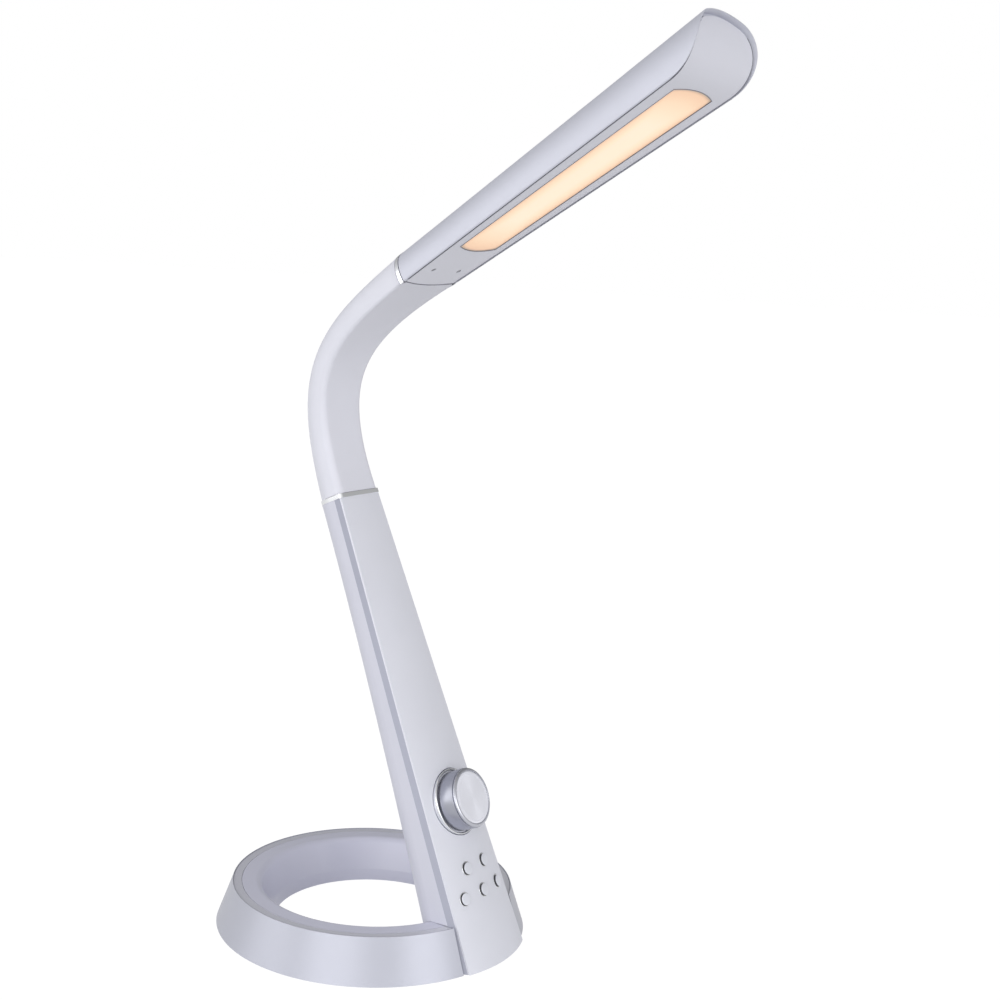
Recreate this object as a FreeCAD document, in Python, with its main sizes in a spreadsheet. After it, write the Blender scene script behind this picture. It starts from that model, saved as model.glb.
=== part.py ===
import FreeCAD, Part
import math
import os
import Sketcher
from FreeCAD import Placement, Rotation, Vector

# A table lamp: a ring-shaped weighted base, a leaning flat stem with a dial and five buttons, a bendable
# neck in a soft sleeve, and a flared light head with a lit panel on its underside. Millimetres, Z up,
# the origin at the centre of the ring on the table, the front towards -Y.

doc = FreeCAD.newDocument("TableLamp")
sheet = doc.addObject("Spreadsheet::Sheet", "Sizes")

driving = [
    ("ringRadius", 85.0, "outer radius of the base at the table"),
    ("rimRadius", 76.8, "outer radius at the top of the base"),
    ("ringHeight", 23.5, "height of the base"),
    ("landRadius", 71.7, "inner radius of the flat grey land on top"),
    ("crestRound", 4.0, "rounding where the flat crest turns down into the funnel"),
    ("crestRadius", 61.6, "radius where the crest and the funnel would meet without it"),
    ("lipRadius", 55.0, "radius where the funnel ends above the hole"),
    ("lipHeight", 6.3, "height of that edge"),
    ("holeRadius", 53.5, "radius of the hole through the base"),
    ("edgeHeight", 0.3, "height of the shell's lower edge over the table"),
    ("padHeight", 1.6, "thickness of the soft pad under the base"),
    ("plateHeight", 1.2, "thickness of the steel bottom plate"),
    ("footRadius", 87.65, "front face of the stem at the table, from the ring's centre"),
    ("lean", 24.35, "backward lean of the stem, degrees"),
    ("stemLength", 259.9, "length of the stem along its front face"),
    ("coverFoot", 27.35, "half width of the front cover at the table"),
    ("coverTop", 17.1, "half width of the front cover at its top"),
    ("crownFoot", 4.7, "how far the cover's edges lie behind its middle, at the table"),
    ("crownTop", 0.8, "the same at the top"),
    ("coverEdge", 1.0, "thickness of the cover at its edges"),
    ("bandDepth", 3.2, "depth of the grey band between the covers"),
    ("bandFoot", 1.9, "how far the band widens towards the rear, at the table"),
    ("bandTop", 0.65, "the same at the top"),
    ("depthFoot", 32.9, "front to back of the stem at the table"),
    ("depthTop", 21.7, "front to back of the stem at its top"),
    ("shellWall", 2.0, "wall of the rear cover"),
    ("stemArch", 12.9, "height of the rounded back of the rear cover"),
    ("stemRoundFoot", 12.0, "corner radius of that back, at the table"),
    ("stemRoundTop", 9.9, "the same at the top"),
    ("ringTrim", 2.3, "thickness of the bright ring on top of the stem"),
    ("dialHeight", 87.6, "distance of the dial from the table, along the stem"),
    ("dialRing", 18.05, "outer radius of the bright ring under the dial"),
    ("dialRadius", 16.0, "radius of the dial"),
    ("dialDisc", 13.4, "radius of the spun disc on its face"),
    ("dialTop", 11.5, "height of the dial over the stem's face"),
    ("upperRow", 53.0, "distance of the upper two buttons from the table, along the stem"),
    ("lowerRow", 39.0, "the same for the lower three"),
    ("buttonPitch", 16.0, "spacing of the buttons in a row"),
    ("capRadius", 2.75, "radius of a button"),
    ("neckFirst", 63.3, "pull of the neck's curve along the stem"),
    ("neckLast", 66.1, "pull of the neck's curve along the head"),
    ("neckSlim", 3.45, "how much narrower the neck is at mid length"),
    ("neckThin", 1.7, "how much thinner it is there"),
    ("jointBack", 18.85, "the head's near end, in front of the ring's centre"),
    ("jointHeight", 352.7, "its height over the table"),
    ("headTilt", 33.5, "rise of the head over the horizontal, degrees"),
    ("headNear", 24.55, "half width of the head at its near end"),
    ("headFar", 37.8, "half width of the head at its tip"),
    ("headNearDepth", 19.5, "depth of the head at its near end"),
    ("headFarDepth", 24.6, "depth of the head at its tip"),
    ("headLength", 199.5, "length of the head along its underside"),
    ("headWall", 1.7, "wall of the head's shell"),
    ("rimWall", 0.7, "wall of its thin rim, round the opening"),
    ("rimDepth", 3.0, "depth of that rim"),
    ("noseRound", 25.55, "radius of the cut that turns up at the tip"),
    ("noseStep", 2.4, "how far the nose lies inside the shell's rim"),
    ("lampNear", 33.8, "near end of the lit panel, from the joint"),
    ("lampFar", 168.6, "far end of the lit panel"),
    ("lampNearHalf", 16.85, "half width of the panel at its near end"),
    ("lampFarHalf", 21.55, "half width at its far end"),
    ("lampBow", 3.1, "bow of both ends of the panel"),
    ("seamGap", 0.45, "gap between the shell and the underside cover"),
    ("linkShank", 3.0, "radius of a neck link's shank"),
    ("linkBall", 4.6, "radius of a neck link's ball"),
    ("linkSocket", 4.9, "radius of the socket that takes it"),
    ("linkOuter", 6.3, "outer radius of a neck link"),
    ("linkBore", 1.3, "radius of the wire hole through a link"),
    ("sleeveBore", 6.8, "radius of the hole through the sleeve"),
    ("fitGap", 0.3, "gap between pieces that move past each other"),
]
for row, (alias, value, meaning) in enumerate(driving, start=1):
    sheet.set(f"A{row}", meaning)
    sheet.set(f"B{row}", str(value))
    sheet.setAlias(f"B{row}", alias)
doc.recompute()


class Size:
    """A length from the sheet, kept as the expression that binds it and as its present value."""

    def __init__(self, text, value):
        self.text = text
        self.value = value

    def join(self, sign, other, swap=False):
        left, right = as_size(self), as_size(other)
        if swap:
            left, right = right, left
        result = {
            "+": lambda a, b: a + b,
            "-": lambda a, b: a - b,
            "*": lambda a, b: a * b,
            "/": lambda a, b: a / b,
        }[sign](left.value, right.value)
        return Size(f"({left.text} {sign} {right.text})", result)

    def __add__(self, other):
        return self.join("+", other)

    def __radd__(self, other):
        return self.join("+", other, True)

    def __sub__(self, other):
        return self.join("-", other)

    def __rsub__(self, other):
        return self.join("-", other, True)

    def __mul__(self, other):
        return self.join("*", other)

    def __rmul__(self, other):
        return self.join("*", other, True)

    def __truediv__(self, other):
        return self.join("/", other)

    def __neg__(self):
        return self.join("-", Size("0", 0.0), True)


def as_size(value):
    return value if isinstance(value, Size) else Size(repr(round(float(value), 6)), float(value))


class Sheet:
    """Reads a driving size by its alias."""

    def __getattr__(self, alias):
        return Size(f"Sizes.{alias}", float(sheet.get(alias)))


S = Sheet()
nodes = {}

stem_place = Placement(
    Vector(0, -S.footRadius.value, 0), Rotation(Vector(1, 0, 0), -S.lean.value)
)
joint_point = Vector(0, -S.jointBack.value, S.jointHeight.value)
head_place = Placement(joint_point, Rotation(Vector(1, 0, 0), 90 - S.headTilt.value))


# Helpers for bodies, sketches and solids

def keep(label, item, place=None):
    """Files a finished sub-part under the name of its node."""
    item.Label = label
    if place is not None:
        item.Placement = place
    nodes[label] = item
    return item


def new_body(name):
    return doc.addObject("PartDesign::Body", name)


def new_sketch(body, role="XY_Plane", offset=None):
    sketch = body.newObject("Sketcher::SketchObject", f"{body.Name}Sketch")
    plane = next(item for item in body.Origin.OriginFeatures if item.Role == role)
    sketch.AttachmentSupport = [(plane, "")]
    sketch.MapMode = "FlatFace"
    if offset is not None:
        sketch.AttachmentOffset = offset
    return sketch


def bind(sketch, kind, *items):
    """Adds a dimension to a sketch and ties it to the sheet."""
    size = as_size(items[-1])
    index = sketch.addConstraint(Sketcher.Constraint(kind, *items[:-1], size.value))
    if "Sizes." in size.text:
        sketch.setExpression(f"Constraints[{index}]", size.text)


def pin_point(sketch, edge, end, across, along):
    """Fixes one end of an edge at (across, along); None leaves that coordinate to the other constraints."""
    for kind, axis, place in (("DistanceX", -2, across), ("DistanceY", -1, along)):
        if place is None:
            continue
        if as_size(place).value == 0:
            sketch.addConstraint(Sketcher.Constraint("PointOnObject", edge, end, axis))
        else:
            bind(sketch, kind, -1, 1, edge, end, place)


def outline(sketch, corners):
    """A closed polygon through corners given as (across, along), tied to the sheet."""
    points = [Vector(as_size(a).value, as_size(b).value, 0) for a, b in corners]
    count = len(points)
    first = len(sketch.Geometry)
    for i in range(count):
        sketch.addGeometry(Part.LineSegment(points[i], points[(i + 1) % count]), False)
    for i in range(count):
        after = first + (i + 1) % count
        sketch.addConstraint(Sketcher.Constraint("Coincident", first + i, 2, after, 1))
    for i, (across, along) in enumerate(corners):
        pin_point(sketch, first + i, 1, across, along)


def axis_of(body, role):
    return (next(item for item in body.Origin.OriginFeatures if item.Role == role), [""])


def revolve(name, corners, angle=360.0):
    """A turned piece about Z: corners are (radius, height). Less than a full turn leaves the gap at -Y."""
    body = new_body(name)
    sketch = new_sketch(body, "YZ_Plane")
    outline(sketch, corners)
    turned = body.newObject("PartDesign::Revolution", f"{name}Turned")
    turned.Profile = sketch
    turned.ReferenceAxis = axis_of(body, "Z_Axis")
    turned.Angle = angle
    turned.Midplane = True
    sketch.Visibility = False
    return body


def pad(body, sketch, length, reversed_side=False):
    feature = body.newObject("PartDesign::Pad", f"{body.Name}Pad")
    feature.Profile = sketch
    size = as_size(length)
    feature.Length = size.value
    if "Sizes." in size.text:
        feature.setExpression("Length", size.text)
    feature.Reversed = reversed_side
    return feature


def loft(name, sections, ruled=False):
    """A body lofted through section sketches; each section is a function that draws one, with its place."""
    body = new_body(name)
    sketches = []
    for draw, place in sections:
        sketch = new_sketch(body, "XY_Plane", place)
        draw(sketch)
        sketches.append(sketch)
    feature = body.newObject("PartDesign::AdditiveLoft", f"{name}Loft")
    feature.Profile = sketches[0]
    feature.Sections = sketches[1:]
    feature.Ruled = ruled
    return body


def level(height):
    return Placement(Vector(0, 0, as_size(height).value), Rotation())


def box(name, low, high, place=None):
    """A block between two corners."""
    item = doc.addObject("Part::Box", name)
    for edge, a, b in zip(("Length", "Width", "Height"), low, high):
        size = as_size(b) - a
        setattr(item, edge, size.value)
        if "Sizes." in size.text:
            item.setExpression(edge, size.text)
    corner = Placement(Vector(*[as_size(v).value for v in low]), Rotation())
    item.Placement = place.multiply(corner) if place else corner
    return item


def rod(name, radius, start, end):
    """A round bar from start to end."""
    item = doc.addObject("Part::Cylinder", name)
    size = as_size(radius)
    item.Radius = size.value
    if "Sizes." in size.text:
        item.setExpression("Radius", size.text)
    item.Height = (end - start).Length
    item.Placement = Placement(start, Rotation(Vector(0, 0, 1), end - start))
    return item


def cut(name, base, *tools):
    item = doc.addObject("Part::Cut", name)
    item.Base = base
    item.Tool = tools[0] if len(tools) == 1 else fuse(f"{name}Tools", *tools)
    return item


def fuse(name, *shapes):
    item = doc.addObject("Part::MultiFuse", name)
    item.Shapes = list(shapes)
    return item


def common(name, first, second):
    item = doc.addObject("Part::MultiCommon", name)
    item.Shapes = [first, second]
    return item


def placed(item, place):
    item.Placement = place
    return item


def rounded_back(sketch, half, base, depth, arch, corner, front=None):
    """A section with a flat front on y = base and a rounded back: sides, two corner arcs and a crown.

    half is the half width, depth the y of the crown, arch the height of its rounded part, corner the
    radius of its corners and front the radius of the two front corners, if they are rounded.
    """
    w, y0, top = as_size(half).value, as_size(base).value, as_size(depth).value
    rise, r = as_size(arch).value, as_size(corner).value
    shoulder = top - rise
    crown = ((w - r) ** 2 + rise**2 - r**2) / (2 * (rise - r))
    corner_centre = Vector(w - r, shoulder, 0)
    crown_centre = Vector(0, top - crown, 0)
    lift = math.atan2(corner_centre.y - crown_centre.y, corner_centre.x)
    z = Vector(0, 0, 1)
    f = as_size(front).value if front is not None else 0.0
    side = [
        Part.LineSegment(Vector(w, y0 + f, 0), Vector(w, shoulder, 0)),
        Part.ArcOfCircle(Part.Circle(corner_centre, z, r), 0, lift),
        Part.ArcOfCircle(Part.Circle(crown_centre, z, crown), lift, math.pi / 2),
        Part.ArcOfCircle(Part.Circle(crown_centre, z, crown), math.pi / 2, math.pi - lift),
        Part.ArcOfCircle(Part.Circle(Vector(r - w, shoulder, 0), z, r), math.pi - lift, math.pi),
        Part.LineSegment(Vector(-w, shoulder, 0), Vector(-w, y0 + f, 0)),
    ]
    ends = [(i, 2, i + 1, 1) for i in range(5)]
    ends[0] = (0, 2, 1, 1)
    if f:
        side.append(
            Part.ArcOfCircle(
                Part.Circle(Vector(f - w, y0 + f, 0), z, f), math.pi, 1.5 * math.pi
            )
        )
        side.append(Part.LineSegment(Vector(f - w, y0, 0), Vector(w - f, y0, 0)))
        side.append(
            Part.ArcOfCircle(
                Part.Circle(Vector(w - f, y0 + f, 0), z, f), 1.5 * math.pi, 2 * math.pi
            )
        )
        ends += [(5, 2, 6, 1), (6, 2, 7, 1), (7, 2, 8, 1), (8, 2, 0, 1)]
    else:
        side.append(Part.LineSegment(Vector(-w, y0, 0), Vector(w, y0, 0)))
        ends += [(5, 2, 6, 1), (6, 2, 0, 1)]
    for edge in side:
        sketch.addGeometry(edge, False)
    corners = {(5, 2, 6, 1), (6, 2, 0, 1)} if not f else set()
    for a, b, c, d in ends:
        kind = "Coincident" if (a, b, c, d) in corners else "Tangent"
        sketch.addConstraint(Sketcher.Constraint(kind, a, b, c, d))
    sketch.addConstraint(Sketcher.Constraint("Vertical", 0))
    sketch.addConstraint(Sketcher.Constraint("Vertical", 5))
    sketch.addConstraint(Sketcher.Constraint("Equal", 1, 4))
    sketch.addConstraint(Sketcher.Constraint("PointOnObject", 2, 2, -2))
    sketch.addConstraint(Sketcher.Constraint("PointOnObject", 2, 3, -2))
    bind(sketch, "DistanceX", -1, 1, 0, 2, half)
    bind(sketch, "DistanceX", -1, 1, 5, 1, -as_size(half))
    bind(sketch, "DistanceY", -1, 1, 2, 2, depth)
    bind(sketch, "DistanceY", -1, 1, 0, 2, as_size(depth) - arch)
    bind(sketch, "DistanceY", -1, 1, 5, 1, as_size(depth) - arch)
    bind(sketch, "Radius", 1, corner)
    if f:
        bind(sketch, "Radius", 6, front)
        bind(sketch, "Radius", 8, front)
        pin_point(sketch, 7, 1, None, base)
    else:
        pin_point(sketch, 6, 1, None, base)
        pin_point(sketch, 6, 2, None, base)


# The stem's changing sizes, at a height along it

tail = -16.0
stem_top = S.stemLength.value
neck_base = S.stemLength + S.ringTrim


def along_stem(foot, top, height):
    return foot + (top - foot) * (as_size(height) / S.stemLength)


def cover_half(height):
    return along_stem(S.coverFoot, S.coverTop, height)


def crown(height):
    return along_stem(S.crownFoot, S.crownTop, height)


def band_half(height):
    return cover_half(height) + along_stem(S.bandFoot, S.bandTop, height)


def cover_back(height):
    return crown(height) + S.coverEdge


def band_back(height):
    return cover_back(height) + S.bandDepth


def stem_depth(height):
    share = max(0.0, 1 - height / S.stemLength.value)
    return S.depthTop + (S.depthFoot - S.depthTop) * share**1.7


def crown_radius(height):
    half, rise = cover_half(height).value, crown(height).value
    return (half**2 + rise**2) / (2 * rise)


def cover_section(height):
    """The front cover: a bowed front, thin edges and a flat back."""

    def draw(sketch):
        half, rise, back = cover_half(height), crown(height), cover_back(height)
        w, s, b = half.value, rise.value, back.value
        front = Part.Arc(Vector(-w, s, 0), Vector(0, 0, 0), Vector(w, s, 0))
        sketch.addGeometry(front, False)
        sketch.addGeometry(Part.LineSegment(Vector(w, s, 0), Vector(w, b, 0)), False)
        sketch.addGeometry(Part.LineSegment(Vector(w, b, 0), Vector(-w, b, 0)), False)
        sketch.addGeometry(Part.LineSegment(Vector(-w, b, 0), Vector(-w, s, 0)), False)
        right = 1 if sketch.getPoint(0, 1).x > 0 else 2
        sketch.addConstraint(Sketcher.Constraint("Coincident", 0, right, 1, 1))
        sketch.addConstraint(Sketcher.Constraint("Coincident", 1, 2, 2, 1))
        sketch.addConstraint(Sketcher.Constraint("Coincident", 2, 2, 3, 1))
        sketch.addConstraint(Sketcher.Constraint("Coincident", 3, 2, 0, 3 - right))
        pin_point(sketch, 1, 1, half, rise)
        pin_point(sketch, 2, 1, half, back)
        pin_point(sketch, 3, 1, -half, back)
        pin_point(sketch, 3, 2, -half, rise)
        sketch.addConstraint(Sketcher.Constraint("PointOnObject", -1, 1, 0))

    return draw, level(height)


def band_section(height, front, back, widen):
    def draw(sketch):
        narrow = cover_half(height) + widen
        wide = band_half(height) + widen
        outline(sketch, [(-narrow, front), (narrow, front), (wide, back), (-wide, back)])

    return draw, level(height)


def rear_section(height, inset=0.0):
    """The rear cover's outline, or its hollow when inset is the wall."""
    start = band_back(height) - (1.0 if inset else 0.0)
    corner = along_stem(S.stemRoundFoot, S.stemRoundTop, height) - inset
    half, depth = band_half(height) - inset, stem_depth(height) - inset
    arch = S.stemArch - inset

    def draw(sketch):
        rounded_back(sketch, half, start, depth, arch, corner)

    return draw, level(height)



def fillet(body, base, radius, chosen):
    """Rounds the edges of a feature that the test picks out."""
    doc.recompute()
    names = [f"Edge{i + 1}" for i, edge in enumerate(base.Shape.Edges) if chosen(edge)]
    feature = body.newObject("PartDesign::Fillet", f"{body.Name}Rounded")
    feature.Base = (base, names)
    feature.Radius = radius.value
    feature.setExpression("Radius", radius.text)
    base.Visibility = False
    return feature


def side_block(name, draw, half=60.0):
    """A block drawn in side view, as (towards the back, up), and equally thick to both sides."""
    body = new_body(name)
    sketch = new_sketch(body, "YZ_Plane", Placement(Vector(0, 0, -half), Rotation()))
    draw(sketch)
    pad(body, sketch, 2 * half)
    return body


def plan_block(name, draw, low, high):
    """A block drawn in the head's plan view, as (across, along), between two heights over its underside."""
    body = new_body(name)
    sketch = new_sketch(body, "XZ_Plane", Placement(Vector(0, 0, -as_size(high).value), Rotation()))
    draw(sketch)
    pad(body, sketch, as_size(high) - low)
    return body


# The base

slot = loft(
    "StemSlot",
    [band_section(z, as_size(-8.0), band_back(z) + 0.25, S.fitGap) for z in (tail, 60.0)],
    ruled=True,
)
slot.Placement = stem_place

shell_side = 2.36
shell = revolve(
    "OuterShell",
    [
        (S.ringRadius, S.edgeHeight),
        (S.rimRadius, S.ringHeight),
        (S.rimRadius - 0.4, S.ringHeight),
        (S.rimRadius - 0.4, S.ringHeight - 1.6),
        (S.rimRadius - 3.0, S.ringHeight - 1.6),
        (S.rimRadius - 3.0, S.ringHeight - 3.1),
        (S.rimRadius - 1.16, S.ringHeight - 3.1),
        (S.ringRadius - shell_side, S.edgeHeight),
    ],
)
inlet_hole = rod("InletHole", 4.1, Vector(0, 60, 11), Vector(0, 95, 11))
keep("base_shell", cut("BaseShell", shell, slot, inlet_hole))

trim = revolve(
    "RimRing",
    [
        (S.landRadius + 0.2, S.ringHeight - 1.55),
        (S.rimRadius - 0.55, S.ringHeight - 1.55),
        (S.rimRadius - 0.55, S.ringHeight - 0.3),
        (S.landRadius + 0.2, S.ringHeight - 0.3),
    ],
)
keep("rim_trim", cut("RimTrim", trim, slot))

funnel = revolve(
    "FunnelWall",
    [
        (S.landRadius, S.ringHeight - 0.3),
        (S.crestRadius, S.ringHeight - 0.3),
        (S.lipRadius, S.lipHeight),
        (S.holeRadius, S.edgeHeight),
        (S.holeRadius + 2.2, S.edgeHeight),
        (S.lipRadius + 2.2, S.lipHeight - 0.8),
        (S.crestRadius + 1.1, S.ringHeight - 3.2),
        (S.landRadius + 2.0, S.ringHeight - 3.2),
        (S.landRadius + 2.0, S.ringHeight - 1.7),
        (S.landRadius, S.ringHeight - 1.7),
    ],
)
corner_radius = S.crestRadius.value
corner_height = S.ringHeight.value - 0.3


def at_crest(edge):
    if not hasattr(edge.Curve, "Radius"):
        return False
    where = edge.BoundBox
    return abs(edge.Curve.Radius - corner_radius) < 0.01 and abs(where.ZMin - corner_height) < 0.01


fillet(funnel, funnel.Tip, S.crestRound, at_crest)
bracket_window = box("BracketWindow", (-13, -80, S.padHeight + 0.9), (13, -55.6, 26))
keep("base_funnel", cut("BaseFunnel", funnel, slot, bracket_window))

weight = revolve(
    "WeightRing",
    [
        (S.holeRadius + 5.9, S.padHeight + S.plateHeight),
        (S.ringRadius - 5.5, S.padHeight + S.plateHeight),
        (S.rimRadius - 1.8, 15.5),
        (S.rimRadius - 6.0, 18.2),
        (S.rimRadius - 8.6, 17.6),
    ],
)
bracket_room = box("BracketRoom", (-17, -95, 1), (17, -50, 30))
inlet_room = box("InletRoom", (-7, 60, 4.5), (7, 90, 30))
spots = [(67 * math.cos(math.radians(a)), 67 * math.sin(math.radians(a))) for a in range(0, 360, 60)]
pilots = [rod("Pilot", 1.55, Vector(x, y, 1), Vector(x, y, 10.5)) for x, y in spots]
keep("base_weight", cut("BaseWeight", weight, slot, bracket_room, inlet_room, *pilots))

plate = revolve(
    "PlateRing",
    [
        (S.holeRadius + 3.2, S.padHeight),
        (S.ringRadius - 3.6, S.padHeight),
        (S.ringRadius - 3.6, S.padHeight + S.plateHeight),
        (S.holeRadius + 3.2, S.padHeight + S.plateHeight),
    ],
)
foot_spots = [(-7, -64), (7, -64)]
plate_holes = [rod("PlateHole", 1.7, Vector(x, y, 0), Vector(x, y, 5)) for x, y in spots + foot_spots]
keep("base_plate", cut("BasePlate", plate, slot, *plate_holes))

soft = revolve(
    "PadRing",
    [
        (S.holeRadius + 3.9, 0.0),
        (S.ringRadius - 4.5, 0.0),
        (S.ringRadius - 4.0, 0.5),
        (S.ringRadius - 4.0, S.padHeight),
        (S.holeRadius + 3.5, S.padHeight),
        (S.holeRadius + 3.5, 0.4),
    ],
)
pad_holes = [rod("PadHole", 3.3, Vector(x, y, -1), Vector(x, y, 3)) for x, y in spots + foot_spots]
keep("base_pad", cut("BasePad", soft, slot, *pad_holes))

screw = revolve(
    "BaseScrew",
    [
        (0.0, 0.35),
        (1.0, 0.35),
        (1.0, 0.9),
        (1.3, 0.9),
        (1.3, 0.35),
        (2.7, 0.35),
        (2.7, S.padHeight),
        (1.5, S.padHeight),
        (1.5, 10.0),
        (0.0, 10.4),
    ],
)
screw.Placement = Placement(Vector(67, 0, 0), Rotation())


def ring_of(name, item, turns):
    """Copies of a piece turned about Z, kept together as one node."""
    shapes = []
    for turn in turns:
        copy = doc.addObject("Part::Feature", f"{name}Copy")
        copy.Shape = item.Shape
        copy.Placement = Placement(Vector(), Rotation(Vector(0, 0, 1), turn)).multiply(item.Placement)
        shapes.append(copy)
    return together(name, shapes)


def together(name, shapes):
    item = doc.addObject("Part::Compound", name)
    item.Links = shapes
    return item


doc.recompute()
keep("base_screws", ring_of("BaseScrews", screw, range(0, 360, 60)))

inlet_body = rod("InletBarrel", 4.0, Vector(0, 68, 11), Vector(0, 81.7, 11))
inlet_bore = rod("InletBore", 2.75, Vector(0, 72.5, 11), Vector(0, 84, 11))
inlet_pin = rod("InletPin", 1.05, Vector(0, 71, 11), Vector(0, 80.6, 11))
inlet_block = box("InletBlock", (-5.5, 65.8, 4.5), (5.5, 74.5, 16.3))
inlet = fuse("InletBody", inlet_block, inlet_body)
keep("dc_inlet", fuse("DcInlet", cut("InletHollow", inlet, inlet_bore), inlet_pin))

# The envelope of the base, which the stem's rear cover stands on, and the floor over the hole

seat = revolve(
    "SeatCutter",
    [
        (0.0, -60.0),
        (130.0, -60.0),
        (130.0, 0.5),
        (S.ringRadius + 0.3, 0.5),
        (S.rimRadius + 0.2, S.ringHeight + 0.25),
        (S.landRadius, S.ringHeight + 0.05),
        (S.crestRadius + 2.7, S.ringHeight - 0.15),
        (S.crestRadius + 1.5, S.ringHeight - 0.33),
        (S.crestRadius + 0.4, S.ringHeight - 0.86),
        (S.crestRadius - 0.5, S.ringHeight - 1.69),
        (S.crestRadius - 1.15, S.ringHeight - 2.79),
        (S.lipRadius - 0.2, S.lipHeight + 0.3),
        (38.0, S.ringHeight + 5.0),
        (0.0, 80.0),
    ],
)
floor = revolve(
    "FloorCutter",
    [
        (0.0, -60.0),
        (60.0, -60.0),
        (60.0, 0.5),
        (S.lipRadius + 2.0, S.lipHeight + 0.2),
        (40.1, S.ringHeight + 5.8),
        (0.0, 84.0),
    ],
)

# The stem: front cover, grey frame behind it, rear cover


def on_cover(across, height):
    """A place on the stem's bowed front, its Z axis pointing straight out of the surface."""
    radius = crown_radius(height)
    tilt = math.asin(across / radius)
    out = Vector(math.sin(tilt), -math.cos(tilt), 0)
    turn = Rotation(Vector(math.cos(tilt), math.sin(tilt), 0), Vector(0, 0, 1), out, "ZXY")
    spot = Vector(across, radius * (1 - math.cos(tilt)), height)
    return stem_place.multiply(Placement(spot, turn)), spot, tilt


pitch = S.buttonPitch.value
button_spots = [
    (-pitch / 2, S.upperRow.value),
    (pitch / 2, S.upperRow.value),
    (-pitch, S.lowerRow.value),
    (0.0, S.lowerRow.value),
    (pitch, S.lowerRow.value),
]
dial_place = on_cover(0.0, S.dialHeight.value)[0]
table = box("BelowTable", (-60, -140, -80), (60, 20, 0.5))

cover_solid = loft("CoverSolid", [cover_section(z) for z in (tail, stem_top)], ruled=True)
cover_solid.Placement = stem_place
openings = []
for i, (across, height) in enumerate(button_spots, start=1):
    opening = revolve(
        f"ButtonOpening{i}",
        [
            (0.0, 3.0),
            (S.capRadius + 1.1, 3.0),
            (S.capRadius + 1.1, -0.35),
            (S.capRadius + 0.7, -0.35),
            (S.capRadius + 0.7, -8.0),
            (0.0, -8.0),
        ],
    )
    opening.Placement = on_cover(across, height)[0]
    openings.append(opening)
ring_groove = revolve(
    "RingGroove",
    [
        (S.dialRing - 1.6, -2.25),
        (S.dialRing + 0.1, -2.25),
        (S.dialRing + 0.1, 4.0),
        (S.dialRing - 1.6, 4.0),
    ],
)
ring_groove.Placement = dial_place
bushing_hole = revolve("BushingHole", [(0.0, -8.0), (3.6, -8.0), (3.6, 4.0), (0.0, 4.0)])
bushing_hole.Placement = dial_place
keep(
    "front_cover",
    cut("FrontCover", cover_solid, table, ring_groove, bushing_hole, *openings),
)

frame_solid = loft(
    "FrameSolid",
    [band_section(z, cover_back(z), band_back(z), 0.0) for z in (tail, stem_top)],
    ruled=True,
)
frame_solid.Placement = stem_place


def window_section(height):
    def draw(sketch):
        half = cover_half(height) - 3.5
        outline(sketch, [(-half, 2.0), (half, 2.0), (half, 12.0), (-half, 12.0)])

    return draw, level(height)


windows = []
for name, low, high in (
    ("LowerWindow", 34.0, 101.0),
    ("MiddleWindow", 132.0, 220.0),
    ("UpperWindow", 232.0, 248.0),
):
    window = loft(name, [window_section(z) for z in (low, high)], ruled=True)
    window.Placement = stem_place
    windows.append(window)


def stem_point(across, depth, height):
    return stem_place.multVec(Vector(across, depth, height))


fixings = [(-7.0, 15.0), (7.0, 15.0), (-7.0, 112.0), (7.0, 112.0)]
frame_pilots = [
    rod("FramePilot", 1.3, stem_point(x, 5.6 if z < 50 else 4.6, z), stem_point(x, 20, z))
    for x, z in fixings
]
board_front, driver_front = 8.75, 8.2
board_posts = [(x, 7.8 if z < 50 else 6.8, board_front, z) for x in (-13, 13) for z in (32.5, 102.5)]
board_posts += [(x, 6.4 if z < 200 else 4.8, driver_front, z) for x in (-7, 7) for z in (129, 223)]
posts = [
    rod("BoardPost", 1.8, stem_point(x, low, z), stem_point(x, end, z))
    for x, low, end, z in board_posts
]
open_frame = cut("OpenFrame", frame_solid, table, *windows, *frame_pilots)
keep("mid_frame", fuse("MidFrame", open_frame, *posts))

heights = (tail, 20.0, 60.0, 105.0, 155.0, 205.0, stem_top)
rear_solid = loft("RearSolid", [rear_section(z) for z in heights])
rear_solid.Placement = stem_place
inner_heights = (tail - 2, 20.0, 60.0, 105.0, 155.0, 205.0, stem_top - 2.5)
rear_core = loft("RearCore", [rear_section(z, S.shellWall) for z in inner_heights])
rear_core.Placement = stem_place
neck_hole = rod("NeckHole", 7.2, stem_point(0, 10.4, 245), stem_point(0, 10.4, 280))
rear_open = cut("RearOpen", rear_solid, seat, neck_hole)
keep("rear_cover", cut("RearCover", rear_open, cut("RearHollow", rear_core, floor)))


def top_section(height, inset):
    def draw(sketch):
        grow = 0.15 - inset
        rounded_back(
            sketch,
            band_half(stem_top) + grow,
            -grow,
            S.depthTop + grow,
            S.stemArch + grow,
            S.stemRoundTop + grow,
            2.0 + grow,
        )

    return draw, level(height)


top_plate = loft("TopPlate", [top_section(z, 0.0) for z in (S.stemLength, neck_base)], ruled=True)
top_plate.Placement = stem_place
keep("stem_top_trim", cut("StemTopTrim", top_plate, neck_hole))

# Inside the stem

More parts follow.
